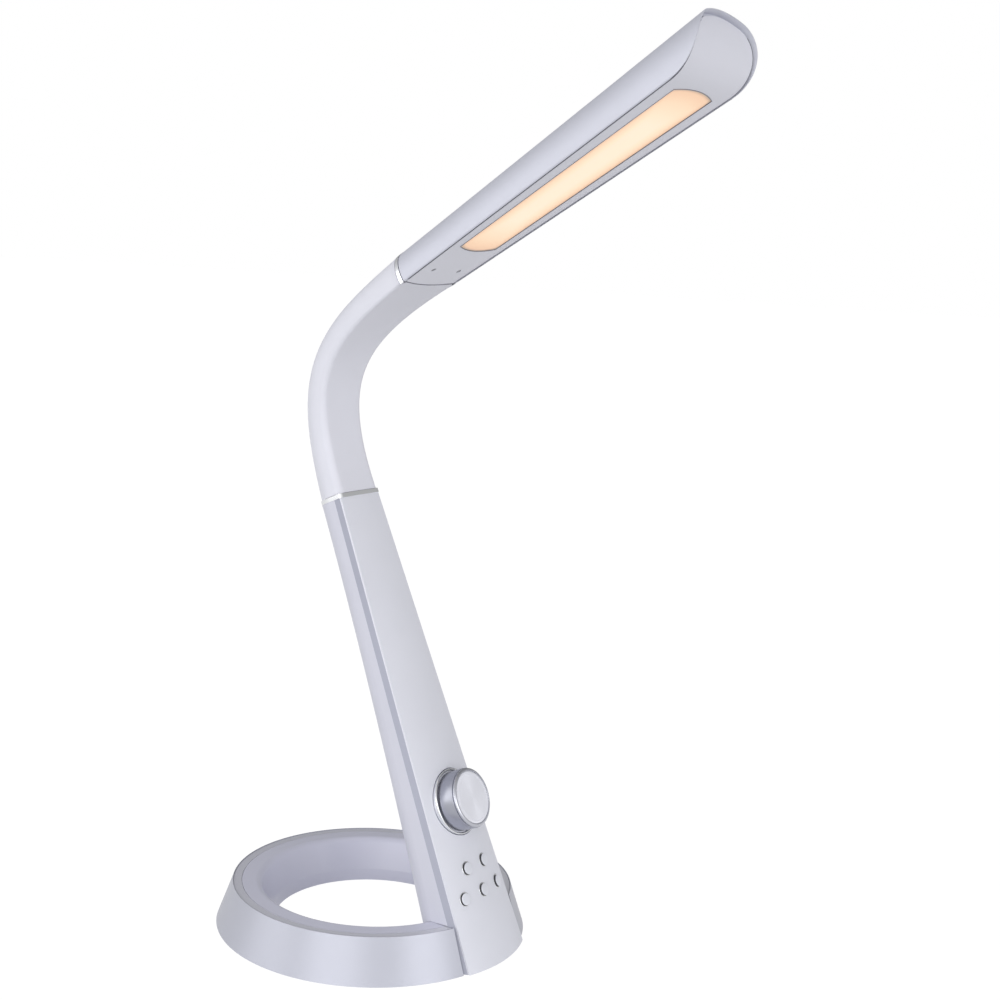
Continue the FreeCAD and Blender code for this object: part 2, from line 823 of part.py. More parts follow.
plate_pilots = [
    rod("BracketPilot", 1.55, stem_point(x, 4, z), stem_point(x, 16, z)) for x, z in fixings
]
foot_pilots = [rod("FootPilot", 1.5, Vector(x, y, 0), Vector(x, y, 9)) for x, y in foot_spots]
head_rooms = [
    rod("HeadRoom", 2.9, stem_point(x, 13.3, z), stem_point(x, 19, z)) for x, z in fixings
]
upright = box("BracketUpright", (-12, 10.8, 5.0), (12, 13.3, 120), stem_place)
low_stand = box("BracketLowStand", (-12, 8.85, 8.0), (12, 10.8, 22), stem_place)
high_stand = box("BracketHighStand", (-12, 7.4, 106.5), (12, 10.8, 117.5), stem_place)
bracket_foot = box("BracketFoot", (-12, -74.0, S.padHeight + S.plateHeight), (12, -57, 5.6))
under_plate = box("UnderPlate", (-30, -120, -20), (30, -20, S.padHeight + S.plateHeight))
bracket = fuse("BracketBody", upright, low_stand, high_stand, bracket_foot)
bracket_holes = plate_pilots + foot_pilots + head_rooms
keep("stem_bracket", cut("StemBracket", bracket, under_plate, *bracket_holes))

stem_screws = []
for x, z in fixings:
    front_end = 5.8 if z < 50 else 4.8
    stem_screws.append(rod("FrameScrew", 1.3, stem_point(x, front_end, z), stem_point(x, 13.4, z)))
    stem_screws.append(rod("FrameHead", 2.6, stem_point(x, 13.4, z), stem_point(x, 15.2, z)))
for x, y in foot_spots:
    stem_screws.append(rod("FootScrew", 1.4, Vector(x, y, S.padHeight.value), Vector(x, y, 8)))
    stem_screws.append(rod("FootHead", 2.7, Vector(x, y, 0.35), Vector(x, y, S.padHeight.value)))
keep("stem_screws", fuse("StemScrews", *stem_screws))

board = box("BoardBlank", (-18, board_front, 31), (18, board_front + 1.6, 104), stem_place)
keep("control_board", board)

switch_parts = []
button_reach = []
for across, height in button_spots:
    place, spot, tilt = on_cover(across, height)
    reach = (5.8 - spot.y) / math.cos(tilt)
    button_reach.append(reach)
    tip_x = across - reach * math.sin(tilt)
    body_low = (tip_x - 3, board_front - 1.7, height - 3)
    body_high = (tip_x + 3, board_front, height + 3)
    switch_parts.append(box("SwitchBody", body_low, body_high, stem_place))
    switch_parts.append(
        rod("SwitchTip", 1.5, stem_point(tip_x, 6.75, height), stem_point(tip_x, 7.1, height))
    )
keep("tact_switches", fuse("TactSwitches", *switch_parts))

encoder_case = box(
    "EncoderCase", (-6, 4.6, S.dialHeight - 6), (6, board_front, S.dialHeight + 6), stem_place
)
encoder_sleeve = revolve(
    "EncoderSleeve", [(3.0, -7.6), (3.5, -7.6), (3.5, 0.85), (3.0, 0.85)]
)
encoder_sleeve.Placement = dial_place
encoder_bore = revolve("EncoderBore", [(0.0, -7.6), (3.0, -7.6), (3.0, 4.0), (0.0, 4.0)])
encoder_bore.Placement = dial_place
encoder_whole = fuse("EncoderWhole", encoder_case, encoder_sleeve)
keep("encoder", cut("Encoder", encoder_whole, encoder_bore))

driver_plate = box("DriverPlate", (-11, driver_front, 126), (11, 9.8, 226), stem_place)
driver_parts = [
    box("DriverCoil", (-7, 9.8, 140), (3, 15.0, 152), stem_place),
    box("DriverChip", (-5, 9.8, 166), (5, 11.4, 178), stem_place),
    rod("DriverCap", 3.2, stem_point(5.5, 9.8, 158), stem_point(5.5, 15.8, 158)),
    rod("DriverCapTwo", 3.2, stem_point(-5, 9.8, 192), stem_point(-5, 15.8, 192)),
    box("DriverPlug", (-6, 9.8, 212), (6, 15.0, 221), stem_place),
]
keep("driver_board", fuse("DriverBoard", driver_plate, *driver_parts))

# The bright button rings and the ring around the dial, the dial and the buttons

bezels = []
for i, (across, height) in enumerate(button_spots, start=1):
    bezel = revolve(
        f"Bezel{i}",
        [
            (S.capRadius + 0.1, 0.6),
            (S.capRadius + 0.8, 0.6),
            (S.capRadius + 1.05, 0.35),
            (S.capRadius + 1.05, -0.35),
            (S.capRadius + 0.65, -0.35),
            (S.capRadius + 0.65, -2.0),
            (S.capRadius + 0.1, -2.0),
        ],
    )
    bezel.Placement = on_cover(across, height)[0]
    bezels.append(bezel)
keep("button_bezels", together("ButtonBezels", bezels))

keep(
    "dial_ring",
    revolve(
        "DialRing",
        [
            (S.dialRing - 1.5, -2.2),
            (S.dialRing, -2.2),
            (S.dialRing, 0.2),
            (S.dialRing - 0.6, 0.9),
            (S.dialRing - 1.5, 0.9),
        ],
    ),
    dial_place,
)
keep(
    "dial_body",
    revolve(
        "DialBody",
        [
            (0.0, 9.2),
            (2.95, 9.2),
            (2.95, 1.2),
            (5.5, 1.2),
            (5.5, 8.8),
            (S.dialRadius - 2.0, 8.8),
            (S.dialRadius - 2.0, 0.35),
            (S.dialRadius, 0.35),
            (S.dialRadius, S.dialTop - 2.4),
            (S.dialRadius - 0.3, S.dialTop - 2.1),
            (S.dialRadius - 0.4, S.dialTop - 1.4),
            (S.dialDisc + 0.35, S.dialTop),
            (S.dialDisc + 0.1, S.dialTop),
            (S.dialDisc + 0.1, S.dialTop - 0.8),
            (0.0, S.dialTop - 0.8),
        ],
    ),
    dial_place,
)
keep(
    "dial_disc",
    revolve(
        "DialDisc",
        [
            (0.0, S.dialTop - 0.8),
            (S.dialDisc, S.dialTop - 0.8),
            (S.dialDisc, S.dialTop - 0.05),
            (S.dialDisc - 1.1, S.dialTop - 0.05),
            (S.dialDisc - 1.25, S.dialTop - 0.2),
            (S.dialDisc - 1.5, S.dialTop - 0.2),
            (S.dialDisc - 1.65, S.dialTop - 0.05),
            (0.0, S.dialTop - 0.05),
        ],
    ),
    dial_place,
)
keep(
    "dial_shaft",
    revolve("DialShaft", [(0.0, -7.2), (2.75, -7.2), (2.95, -7.0), (2.95, 9.2), (0.0, 9.2)]),
    dial_place,
)

for i, (across, height) in enumerate(button_spots, start=1):
    reach = button_reach[i - 1]
    keep(
        f"button_{i}",
        revolve(
            f"Button{i}",
            [
                (0.0, 0.45),
                (S.capRadius - 0.25, 0.45),
                (S.capRadius, 0.2),
                (S.capRadius, -2.3),
                (3.05, -2.3),
                (3.05, -3.4),
                (1.2, -3.4),
                (1.2, -reach),
                (0.0, -reach),
            ],
        ),
        on_cover(across, height)[0],
    )

# The neck: its front line is a smooth curve from the top of the stem to the head

lean_way = Vector(0, math.sin(math.radians(S.lean.value)), math.cos(math.radians(S.lean.value)))
tilt_angle = math.radians(S.headTilt.value)
head_way = Vector(0, -math.cos(tilt_angle), math.sin(tilt_angle))
neck_foot = stem_point(0, 0, neck_base.value)
pulls = [
    neck_foot,
    neck_foot + lean_way * S.neckFirst.value,
    joint_point - head_way * S.neckLast.value,
    joint_point,
]


def front_line(share):
    a, b, c, d = pulls
    rest = 1 - share
    spot = a * rest**3 + b * (3 * share * rest**2) + c * (3 * share**2 * rest) + d * share**3
    way = (b - a) * rest**2 + (c - b) * (2 * share * rest) + (d - c) * share**2
    return spot, way.normalize()


steps = 400
lengths = [0.0]
for i in range(steps):
    lengths.append(lengths[-1] + (front_line((i + 1) / steps)[0] - front_line(i / steps)[0]).Length)
neck_length = lengths[-1]


def share_at(length):
    """The curve's parameter at a length along it, also a little past its ends."""
    for i in range(steps):
        if lengths[i + 1] >= length:
            return (i + (length - lengths[i]) / (lengths[i + 1] - lengths[i])) / steps
    return 1.0 + (length - neck_length) / neck_length


def neck_frame(length):
    """A place on the neck's front line with Y towards its back and Z along it."""
    spot, way = front_line(share_at(length))
    turn = Rotation(Vector(1, 0, 0), way.cross(Vector(1, 0, 0)), way, "ZXY")
    return Placement(spot, turn)


def neck_sizes(length):
    share = min(1.0, max(0.0, length / neck_length))
    waist = 4 * share * (1 - share)
    half = band_half(stem_top) * (1 - share) + S.headNear * share - S.neckSlim * waist
    depth = S.depthTop * (1 - share) + S.headNearDepth * share - S.neckThin * waist
    arch = depth * (0.67 + 0.26 * share)
    corner = depth * (0.46 + 0.39 * share)
    front = as_size(4.0 - 3.0 * share)
    return half, depth, arch, corner, front


def neck_section(length):
    def draw(sketch):
        half, depth, arch, corner, front = neck_sizes(length)
        rounded_back(sketch, half, as_size(0.0), depth, arch, corner, front)

    return draw, neck_frame(length)


def neck_middle(length):
    place = neck_frame(length)
    return place.multVec(Vector(0, neck_sizes(length)[1].value / 2, 0))


hinges = [17.0 + 16.6 * i for i in range(7)]
centres = [neck_middle(v) for v in hinges]
start_point = stem_point(0, neck_sizes(0.0)[1].value / 2, 246.0)
end_point = head_place.multVec(Vector(0, 9.4, 15.5))
chain = [start_point] + centres + [end_point]


def link_parts(name, start, end, socket, ball):
    """One link: a socket around start, a shank, and a ball at end, bored for the wires."""
    length = (end - start).Length
    place = Placement(start, Rotation(Vector(0, 0, 1), end - start))
    pieces = []
    if socket:
        cup = revolve(
            f"{name}Cup",
            [
                (S.linkBore, 5.4),
                (S.linkSocket - 0.4, 5.4),
                (S.linkSocket, 3.0),
                (S.linkSocket, -1.5),
                (S.linkOuter, -1.5),
                (S.linkOuter, 6.6),
                (S.linkShank, 8.4),
                (S.linkBore, 8.4),
            ],
        )
        cup.Placement = place
        pieces.append(cup)
    low = 8.4 if socket else 0.0
    shank = revolve(
        f"{name}Shank",
        [
            (S.linkBore, low),
            (S.linkShank, low),
            (S.linkShank, length),
            (S.linkBore, length),
        ],
    )
    shank.Placement = place
    pieces.append(shank)
    if not ball:
        return fuse(name, *pieces)
    knuckle = doc.addObject("Part::Sphere", f"{name}Ball")
    knuckle.setExpression("Radius", S.linkBall.text)
    knuckle.Placement = Placement(end, Rotation())
    pieces.append(knuckle)
    bore = rod(f"{name}Bore", S.linkBore, start, end + (end - start).normalize() * 7)
    return cut(name, fuse(f"{name}Solid", *pieces), bore)


for i in range(8):
    keep(
        f"gooseneck_{i + 1}",
        link_parts(f"Gooseneck{i + 1}", chain[i], chain[i + 1], socket=i > 0, ball=i < 7),
    )

# The head: a D-shaped shell, its near end closed, its underside open and its tip cut round


def head_half(along):
    return S.headNear + (S.headFar - S.headNear) * (as_size(along) / S.headLength)


def head_depth(along):
    return S.headNearDepth + (S.headFarDepth - S.headNearDepth) * (as_size(along) / S.headLength)


def head_section(along, inset=0.0, base=0.0, front=None):
    def draw(sketch):
        depth = head_depth(along)
        rounded_back(
            sketch,
            head_half(along) - inset,
            as_size(base),
            depth - inset,
            depth * 0.93 - inset,
            depth * 0.85 - inset,
            front,
        )

    return draw, level(along)


def head_loft(name, low, high, inset=0.0, base=0.0, front=None):
    body = loft(name, [head_section(z, inset, base, front) for z in (low, high)], ruled=True)
    return placed(body, head_place)


def nose_region(sketch, inside):
    """Side view of what lies in front of the nose's round end, or of a line inside it."""
    radius, along = S.noseRound - inside, S.headLength - S.noseRound
    corners = [
        (-20.0, along),
        (as_size(0.2) + inside, along),
        (S.noseRound + 0.2, S.headLength - inside),
        (60.0, S.headLength - inside),
        (60.0, 250.0),
        (-20.0, 250.0),
    ]
    r, mid_y = radius.value, along.value
    points = [Vector(as_size(a).value, as_size(b).value, 0) for a, b in corners]
    for i in range(6):
        after = points[(i + 1) % 6]
        if i == 1:
            middle = Vector(S.noseRound.value + 0.2, mid_y, 0)
            bend = Part.Circle(middle, Vector(0, 0, 1), r)
            sketch.addGeometry(Part.ArcOfCircle(bend, math.pi / 2, math.pi), False)
        else:
            sketch.addGeometry(Part.LineSegment(points[i], after), False)
    for i in range(6):
        a_end = 1 if i == 1 else 2
        b_end = 2 if i == 0 else 1
        sketch.addConstraint(Sketcher.Constraint("Coincident", i, a_end, (i + 1) % 6, b_end))
    for i, (across, up) in enumerate(corners):
        pin_point(sketch, i, 2 if i == 1 else 1, across, up)
    bind(sketch, "Radius", 1, radius)


def nose_outline(sketch):
    nose_region(sketch, as_size(0.0))


def rim_outline(sketch):
    nose_region(sketch, S.rimDepth)


nose_cut = placed(side_block("NoseCut", nose_outline), head_place)
shell_outer = head_loft("ShellOuter", 0.0, 206.0, front=as_size(0.8))
shell_inner = head_loft("ShellInner", 2.0, 208.0, S.headWall, -3.0)
slot_half = S.headNear.value - S.headWall.value - S.seamGap.value + 0.5
near_slot = box("NearSlot", (-slot_half, -3, -1), (slot_half, 2.5, 3), head_place)
wire_way = rod(
    "WireWay", 7.2, head_place.multVec(Vector(0, 9.4, -3)), head_place.multVec(Vector(0, 9.4, 2.4))
)
rim_nose = placed(side_block("RimNose", rim_outline), head_place)
rim_end = (S.headLength - S.noseRound).value + 0.1
rim_straight = box("RimStraight", (-60, -20, 2), (60, 0.2 + S.rimDepth.value, rim_end), head_place)
rim_core = head_loft("RimCore", 2.0, 208.0, S.rimWall, -3.0)
rim_room = common("RimRoom", rim_core, fuse("RimRegion", rim_nose, rim_straight))
head_open = cut("HeadOpen", shell_outer, shell_inner)
keep("head_shell", cut("HeadShell", head_open, nose_cut, rim_room, near_slot, wire_way))


def cover_outline(sketch):
    """Side view of the underside cover: straight, then turning up inside the shell's rim."""
    radius = S.headFarDepth - 0.6
    start = S.headLength - S.noseStep - radius
    tail_end = as_size(-6.0)
    lower, upper = as_size(0.3), as_size(2.1)
    top = radius + 0.3
    corners = [
        (lower, tail_end),
        (lower, start),
        (top, start + radius),
        (top, start + radius - 1.8),
        (upper, start),
        (upper, tail_end),
    ]
    points = [Vector(as_size(a).value, as_size(b).value, 0) for a, b in corners]
    centre = Vector(top.value, start.value, 0)
    for i in range(6):
        if i in (1, 3):
            bend = Part.Circle(centre, Vector(0, 0, 1), radius.value - (1.8 if i == 3 else 0.0))
            sketch.addGeometry(Part.ArcOfCircle(bend, math.pi / 2, math.pi), False)
        else:
            sketch.addGeometry(Part.LineSegment(points[i], points[(i + 1) % 6]), False)
    starts = [1, 2, 1, 1, 1, 1]
    ends = [2, 1, 2, 2, 2, 2]
    for i in range(6):
        after = (i + 1) % 6
        sketch.addConstraint(Sketcher.Constraint("Coincident", i, ends[i], after, starts[after]))
    for i, (across, up) in enumerate(corners):
        pin_point(sketch, i, starts[i], across, up)


panel_side = placed(side_block("CoverSide", cover_outline), head_place)
panel_room = head_loft("CoverRoom", -6.0, 206.0, S.headWall + S.seamGap, -3.0)
disc_centre = S.headLength / 2
near_disc = doc.addObject("Part::Cylinder", "NearDisc")
near_reach = S.headLength / 2 + 2.75
near_disc.setExpression("Radius", near_reach.text)
near_disc.Height = 60.0
near_disc.Placement = head_place.multiply(
    Placement(Vector(0, -10, disc_centre.value), Rotation(Vector(0, 0, 1), Vector(0, 1, 0)))
)


def lamp_outline(grow):
    """The lit panel's outline in plan: two slanting sides and two ends that bow outwards."""

    def draw(sketch):
        near, far = S.lampNear - grow, S.lampFar + grow
        near_half, far_half = S.lampNearHalf + grow, S.lampFarHalf + grow
        bow = S.lampBow.value
        a = Vector(-near_half.value, near.value, 0)
        b = Vector(near_half.value, near.value, 0)
        c = Vector(far_half.value, far.value, 0)
        d = Vector(-far_half.value, far.value, 0)
        sketch.addGeometry(Part.Arc(a, Vector(0, near.value - bow, 0), b), False)
        sketch.addGeometry(Part.LineSegment(b, c), False)
        sketch.addGeometry(Part.Arc(c, Vector(0, far.value + bow, 0), d), False)
        sketch.addGeometry(Part.LineSegment(d, a), False)
        near_right = 2 if sketch.getPoint(0, 2).x > 0 else 1
        far_right = 2 if sketch.getPoint(2, 2).x > 0 else 1
        sketch.addConstraint(Sketcher.Constraint("Coincident", 0, near_right, 1, 1))
        sketch.addConstraint(Sketcher.Constraint("Coincident", 1, 2, 2, far_right))
        sketch.addConstraint(Sketcher.Constraint("Coincident", 2, 3 - far_right, 3, 1))
        sketch.addConstraint(Sketcher.Constraint("Coincident", 3, 2, 0, 3 - near_right))
        pin_point(sketch, 1, 1, near_half, near)
        pin_point(sketch, 1, 2, far_half, far)
        pin_point(sketch, 3, 1, -far_half, far)
        pin_point(sketch, 3, 2, -near_half, near)
        for arc, half in ((0, near_half), (2, far_half)):
            bind(sketch, "Radius", arc, (half * half + S.lampBow * S.lampBow) / (S.lampBow * 2.0))

    return draw


def lamp_plate(name, grow, low, high):
    return placed(plan_block(name, lamp_outline(grow), low, high), head_place)


head_screw_spots = [(-11.85, 11.35), (11.85, 11.35)]


def head_rod(name, radius, across, along, low, high):
    start = head_place.multVec(Vector(across, low, along))
    return rod(name, radius, start, head_place.multVec(Vector(across, high, along)))


head_bores = [head_rod("HeadBore", 1.4, x, z, -2, 1.3) for x, z in head_screw_spots]
head_bores += [head_rod("HeadNarrow", 0.85, x, z, -2, 4) for x, z in head_screw_spots]
far_half = box("FarHalf", (-60, -10, disc_centre.value), (60, 50, 250), head_place)
near_limit = fuse("NearLimit", near_disc, far_half)
panel_shape = common("CoverShape", common("CoverTrimmed", panel_side, panel_room), near_limit)
window = lamp_plate("LampWindow", 0.12, -2.0, 4.0)
keep("head_underside", cut("HeadUnderside", panel_shape, window, *head_bores))
keep("diffuser", lamp_plate("Diffuser", 0.0, 0.45, 2.1))
keep("light_guide", lamp_plate("LightGuide", 1.6, 2.1, 4.6))
keep("reflector_sheet", lamp_plate("ReflectorSheet", 1.6, 4.6, 5.0))
keep("heat_spreader", lamp_plate("HeatSpreader", 3.2, 5.1, 7.1))


def strips_outline(sketch):
    for side in (-1.0, 1.0):
        inner_near, inner_far = (S.lampNearHalf + 1.9) * side, (S.lampFarHalf + 1.9) * side
        outer_near, outer_far = (S.lampNearHalf + 2.9) * side, (S.lampFarHalf + 2.9) * side
        near, far = S.lampNear + 2.0, S.lampFar - 2.0
        outline(
            sketch, [(inner_near, near), (inner_far, far), (outer_far, far), (outer_near, near)]
        )


keep("led_strips", placed(plan_block("LedStrips", strips_outline, 2.3, 4.9), head_place))

ferrule_block = box("FerruleBlock", (-14, 2.3, 2.2), (14, 13, 18), head_place)
ferrule_bore = rod("FerruleBore", S.linkShank + 0.02, centres[-1], end_point)
deep_hole = [head_rod("ScrewHole", 0.8, x, z, 2, 8) for x, z in head_screw_spots]
keep("head_ferrule", cut("HeadFerrule", ferrule_block, ferrule_bore, *deep_hole))
screw_parts = []
for x, z in head_screw_spots:
    screw_parts.append(head_rod("HeadScrewHead", 1.3, x, z, 0.45, 1.3))
    screw_parts.append(head_rod("HeadScrewShank", 0.8, x, z, 1.3, 7.6))
keep("head_screws", fuse("HeadScrews", *screw_parts))

trim_outer = head_loft("TrimOuter", -2.6, -0.4, -0.15, 0.0)
trim_inner = head_loft("TrimInner", -3.6, 0.6, 1.05, -3.0)
keep("joint_trim", cut("JointTrim", trim_outer, trim_inner))

# The soft sleeve over the neck, one piece around each link, the last one cut to the head's end

stations = [0.3] + hinges + [neck_length - 0.35]
trim_room = cut(
    "TrimRoom",
    head_loft("TrimRoomOuter", -2.9, 3.0, -3.0, -3.0),
    head_loft("TrimRoomInner", -3.9, 4.0, 1.35, -6.0),
)
near_room = doc.addObject("Part::Cylinder", "NearRoom")
near_room.setExpression("Radius", (near_reach + 0.3).text)
near_room.Height = 12.4
near_room.Placement = near_disc.Placement
for i in range(8):
    first = stations[i] + (0.15 if i else 0.0)
    last = stations[i + 1] - (0.15 if i < 7 else 0.0)
    sleeve = loft(
        f"Sleeve{i + 1}",
        [neck_section(first), neck_section((first + last) / 2), neck_section(last)],
    )
    way = (chain[i + 1] - chain[i]).normalize()
    hole = rod(f"SleeveHole{i + 1}", S.sleeveBore, chain[i] - way * 12, chain[i + 1] + way * 12)
    tools = [hole] if i < 7 else [hole, trim_room, near_room]
    keep(f"neck_sleeve_{i + 1}", cut(f"NeckSleeve{i + 1}", sleeve, *tools))

doc.recompute()

os.makedirs("parts", exist_ok=True)
for node, item in nodes.items():
    item.Shape.exportStep(f"parts/{node}.step")
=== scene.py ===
from bisect import bisect_right
from math import atan2, cos, pi, radians, sin, sqrt

import bmesh
import bpy
from mathutils import Matrix, Vector


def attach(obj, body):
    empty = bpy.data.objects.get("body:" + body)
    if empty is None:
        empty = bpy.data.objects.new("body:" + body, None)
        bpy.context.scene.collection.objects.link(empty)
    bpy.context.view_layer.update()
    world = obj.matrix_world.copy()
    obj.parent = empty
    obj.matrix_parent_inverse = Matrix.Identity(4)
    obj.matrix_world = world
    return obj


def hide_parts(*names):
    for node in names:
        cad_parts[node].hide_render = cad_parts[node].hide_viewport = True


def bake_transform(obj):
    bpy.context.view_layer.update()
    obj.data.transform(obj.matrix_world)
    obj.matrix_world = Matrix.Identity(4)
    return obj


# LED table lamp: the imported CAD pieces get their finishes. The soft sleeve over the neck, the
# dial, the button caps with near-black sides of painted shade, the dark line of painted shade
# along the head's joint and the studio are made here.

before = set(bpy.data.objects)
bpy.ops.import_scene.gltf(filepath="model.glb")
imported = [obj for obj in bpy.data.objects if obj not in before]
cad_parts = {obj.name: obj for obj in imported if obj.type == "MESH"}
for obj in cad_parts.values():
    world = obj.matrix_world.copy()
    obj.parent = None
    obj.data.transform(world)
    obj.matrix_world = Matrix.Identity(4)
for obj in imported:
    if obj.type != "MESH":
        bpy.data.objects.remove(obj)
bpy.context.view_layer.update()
print("frame loaded:", len(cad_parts), "nodes")

mm = 0.001
weld = 1e-6                 # vertices closer than this are one (m)

surface = {
    "grainDetail": 3.0, "toneDetail": 4.0, "glossDetail": 5.0,
    "plasticGrain": (3500, 0.06, 0.0002), "metalGrain": (2500, 0.03, 0.0001),
    "toneStops": (0.3, 0.7),
    # share by which tone and roughness vary, and the scale of the noise that varies them
    "plasticTone": (0.015, 22), "plasticGloss": (0.1, 300),
    "metalTone": (0.01, 40), "metalGloss": (0.15, 250),
    "spunGloss": (0.1, 700),
}


def newFinish(name):
    finish = bpy.data.materials.new(name)
    finish.use_nodes = True
    shader = finish.node_tree.nodes["Principled BSDF"]
    return finish, finish.node_tree, shader


def addNode(tree, kind, **settings):
    node = tree.nodes.new(kind)
    for key, value in settings.items():
        setattr(node, key, value)
    return node


def objectPlace(tree):
    # Object coordinates in metres
    return addNode(tree, "ShaderNodeTexCoord").outputs["Object"]


def addNoise(tree, scale, detail):
    noise = addNode(tree, "ShaderNodeTexNoise")
    noise.inputs["Scale"].default_value = scale
    noise.inputs["Detail"].default_value = detail
    tree.links.new(objectPlace(tree), noise.inputs["Vector"])
    return noise.outputs["Fac"]


def addGrain(tree, shader, scale, height, distance):
    # fine surface grain as bump
    bump = addNode(tree, "ShaderNodeBump")
    bump.inputs["Strength"].default_value = height
    bump.inputs["Distance"].default_value = distance
    tree.links.new(addNoise(tree, scale, surface["grainDetail"]), bump.inputs["Height"])
    tree.links.new(bump.outputs["Normal"], shader.inputs["Normal"])


def addUnevenness(tree, shader, colour, spread, scale):
    # very slight changes of tone over the surface, as moulded and painted plastic has
    ramp = addNode(tree, "ShaderNodeValToRGB")
    shares = (1 - spread, 1 + spread)
    for stop, position, share in zip(ramp.color_ramp.elements, surface["toneStops"], shares):
        stop.position = position
        stop.color = (*[min(1.0, c * share) for c in colour], 1)
    tree.links.new(addNoise(tree, scale, surface["toneDetail"]), ramp.inputs["Fac"])
    tree.links.new(ramp.outputs["Color"], shader.inputs["Base Color"])


def addRoughnessRange(tree, shader, rough, spread, scale):
    level = addNode(tree, "ShaderNodeMapRange")
    level.inputs["To Min"].default_value = rough * (1 - spread)
    level.inputs["To Max"].default_value = rough * (1 + spread)
    tree.links.new(addNoise(tree, scale, surface["glossDetail"]), level.inputs["Value"])
    tree.links.new(level.outputs["Result"], shader.inputs["Roughness"])


def plasticFinish(name, colour, rough, metallic=0.0, grain=surface["plasticGrain"]):
    finish, tree, shader = newFinish(name)
    shader.inputs["Metallic"].default_value = metallic
    addUnevenness(tree, shader, colour, *surface["plasticTone"])
    addRoughnessRange(tree, shader, rough, *surface["plasticGloss"])
    addGrain(tree, shader, *grain)
    return finish


def metalFinish(name, colour, rough):
    finish, tree, shader = newFinish(name)
    shader.inputs["Metallic"].default_value = 1.0
    addUnevenness(tree, shader, colour, *surface["metalTone"])
    addRoughnessRange(tree, shader, rough, *surface["metalGloss"])
    addGrain(tree, shader, *surface["metalGrain"])
    return finish


finishSettings = (
    (plasticFinish, "headSilver", (0.615, 0.625, 0.705), 0.52, dict(metallic=0.35)),
    (plasticFinish, "baseSilver", (0.485, 0.495, 0.565), 0.35, dict(metallic=0.4)),
    (plasticFinish, "coverSilver", (0.74, 0.75, 0.825), 0.46, dict(metallic=0.12)),
    (plasticFinish, "rearWhite", (0.62, 0.625, 0.71), 0.4, {}),
    (plasticFinish, "underWhite", (0.72, 0.725, 0.805), 0.38, dict(metallic=0.05)),
    (plasticFinish, "funnelGloss", (0.61, 0.615, 0.73), 0.22, dict(grain=(900, 0.02, 0.0002))),
    # grey of the stem's mid-frame together with painted shade of the recessed gap round the front
    # cover
    (plasticFinish, "bandGrey", (0.36, 0.37, 0.45), 0.38, dict(metallic=0.15)),
    (plasticFinish, "landGrey", (0.61, 0.615, 0.69), 0.36, dict(metallic=0.2)),
    (plasticFinish, "sleeveSilicone", (0.72, 0.725, 0.80), 0.5, dict(grain=(1800, 0.12, 0.0002))),
    (metalFinish, "chrome", (0.86, 0.87, 0.89), 0.07, {}),
    (plasticFinish, "capMetal", (0.77, 0.785, 0.86), 0.3, dict(metallic=0.3)),
    (metalFinish, "satinMetal", (0.50, 0.51, 0.55), 0.3, {}),
    (metalFinish, "jointSilver", (0.88, 0.89, 0.93), 0.25, {}),
    (metalFinish, "screwDark", (0.22, 0.225, 0.25), 0.4, {}),
    (metalFinish, "steel", (0.55, 0.56, 0.58), 0.35, {}),
    (plasticFinish, "castIron", (0.05, 0.05, 0.052), 0.7,
     dict(metallic=0.3, grain=(700, 0.5, 0.0006))),
    (plasticFinish, "blackPlastic", (0.02, 0.02, 0.022), 0.45, {}),
    (plasticFinish, "padRubber", (0.06, 0.06, 0.065), 0.75, dict(grain=(1600, 0.4, 0.0004))),
    (plasticFinish, "boardGreen", (0.02, 0.14, 0.06), 0.4, {}),
    (plasticFinish, "guideClear", (0.9, 0.9, 0.9), 0.1, {}),
)
finishes = {
    name: make(name, colour, rough, **more)
    for make, name, colour, rough, more in finishSettings
}


litPanel = {
    "middle": (0, -0.1030, 0.4089),   # of its lower face (m)
    "tilt": 33.5,
    "halfLength": 0.0674, "bow": 0.0031,
    "nearHalf": 0.01685, "farHalf": 0.02155,
    "edge": (0.80, 0.33, 0.13), "warm": (0.95, 0.60, 0.32), "cream": (1.0, 0.84, 0.62),
    "warmStop": 0.35,
    "fade": 0.013,          # from its outline to the creamy middle (m)
    "endShare": 0.45,       # a distance from its ends counts as this share of itself
    "rounding": 0.004,
    "lip": (0.0001, 0.0009), "lipShade": 0.25,
    "light": 0.57,
    "unlit": (0.6, 0.52, 0.42), "rough": 0.4,
}


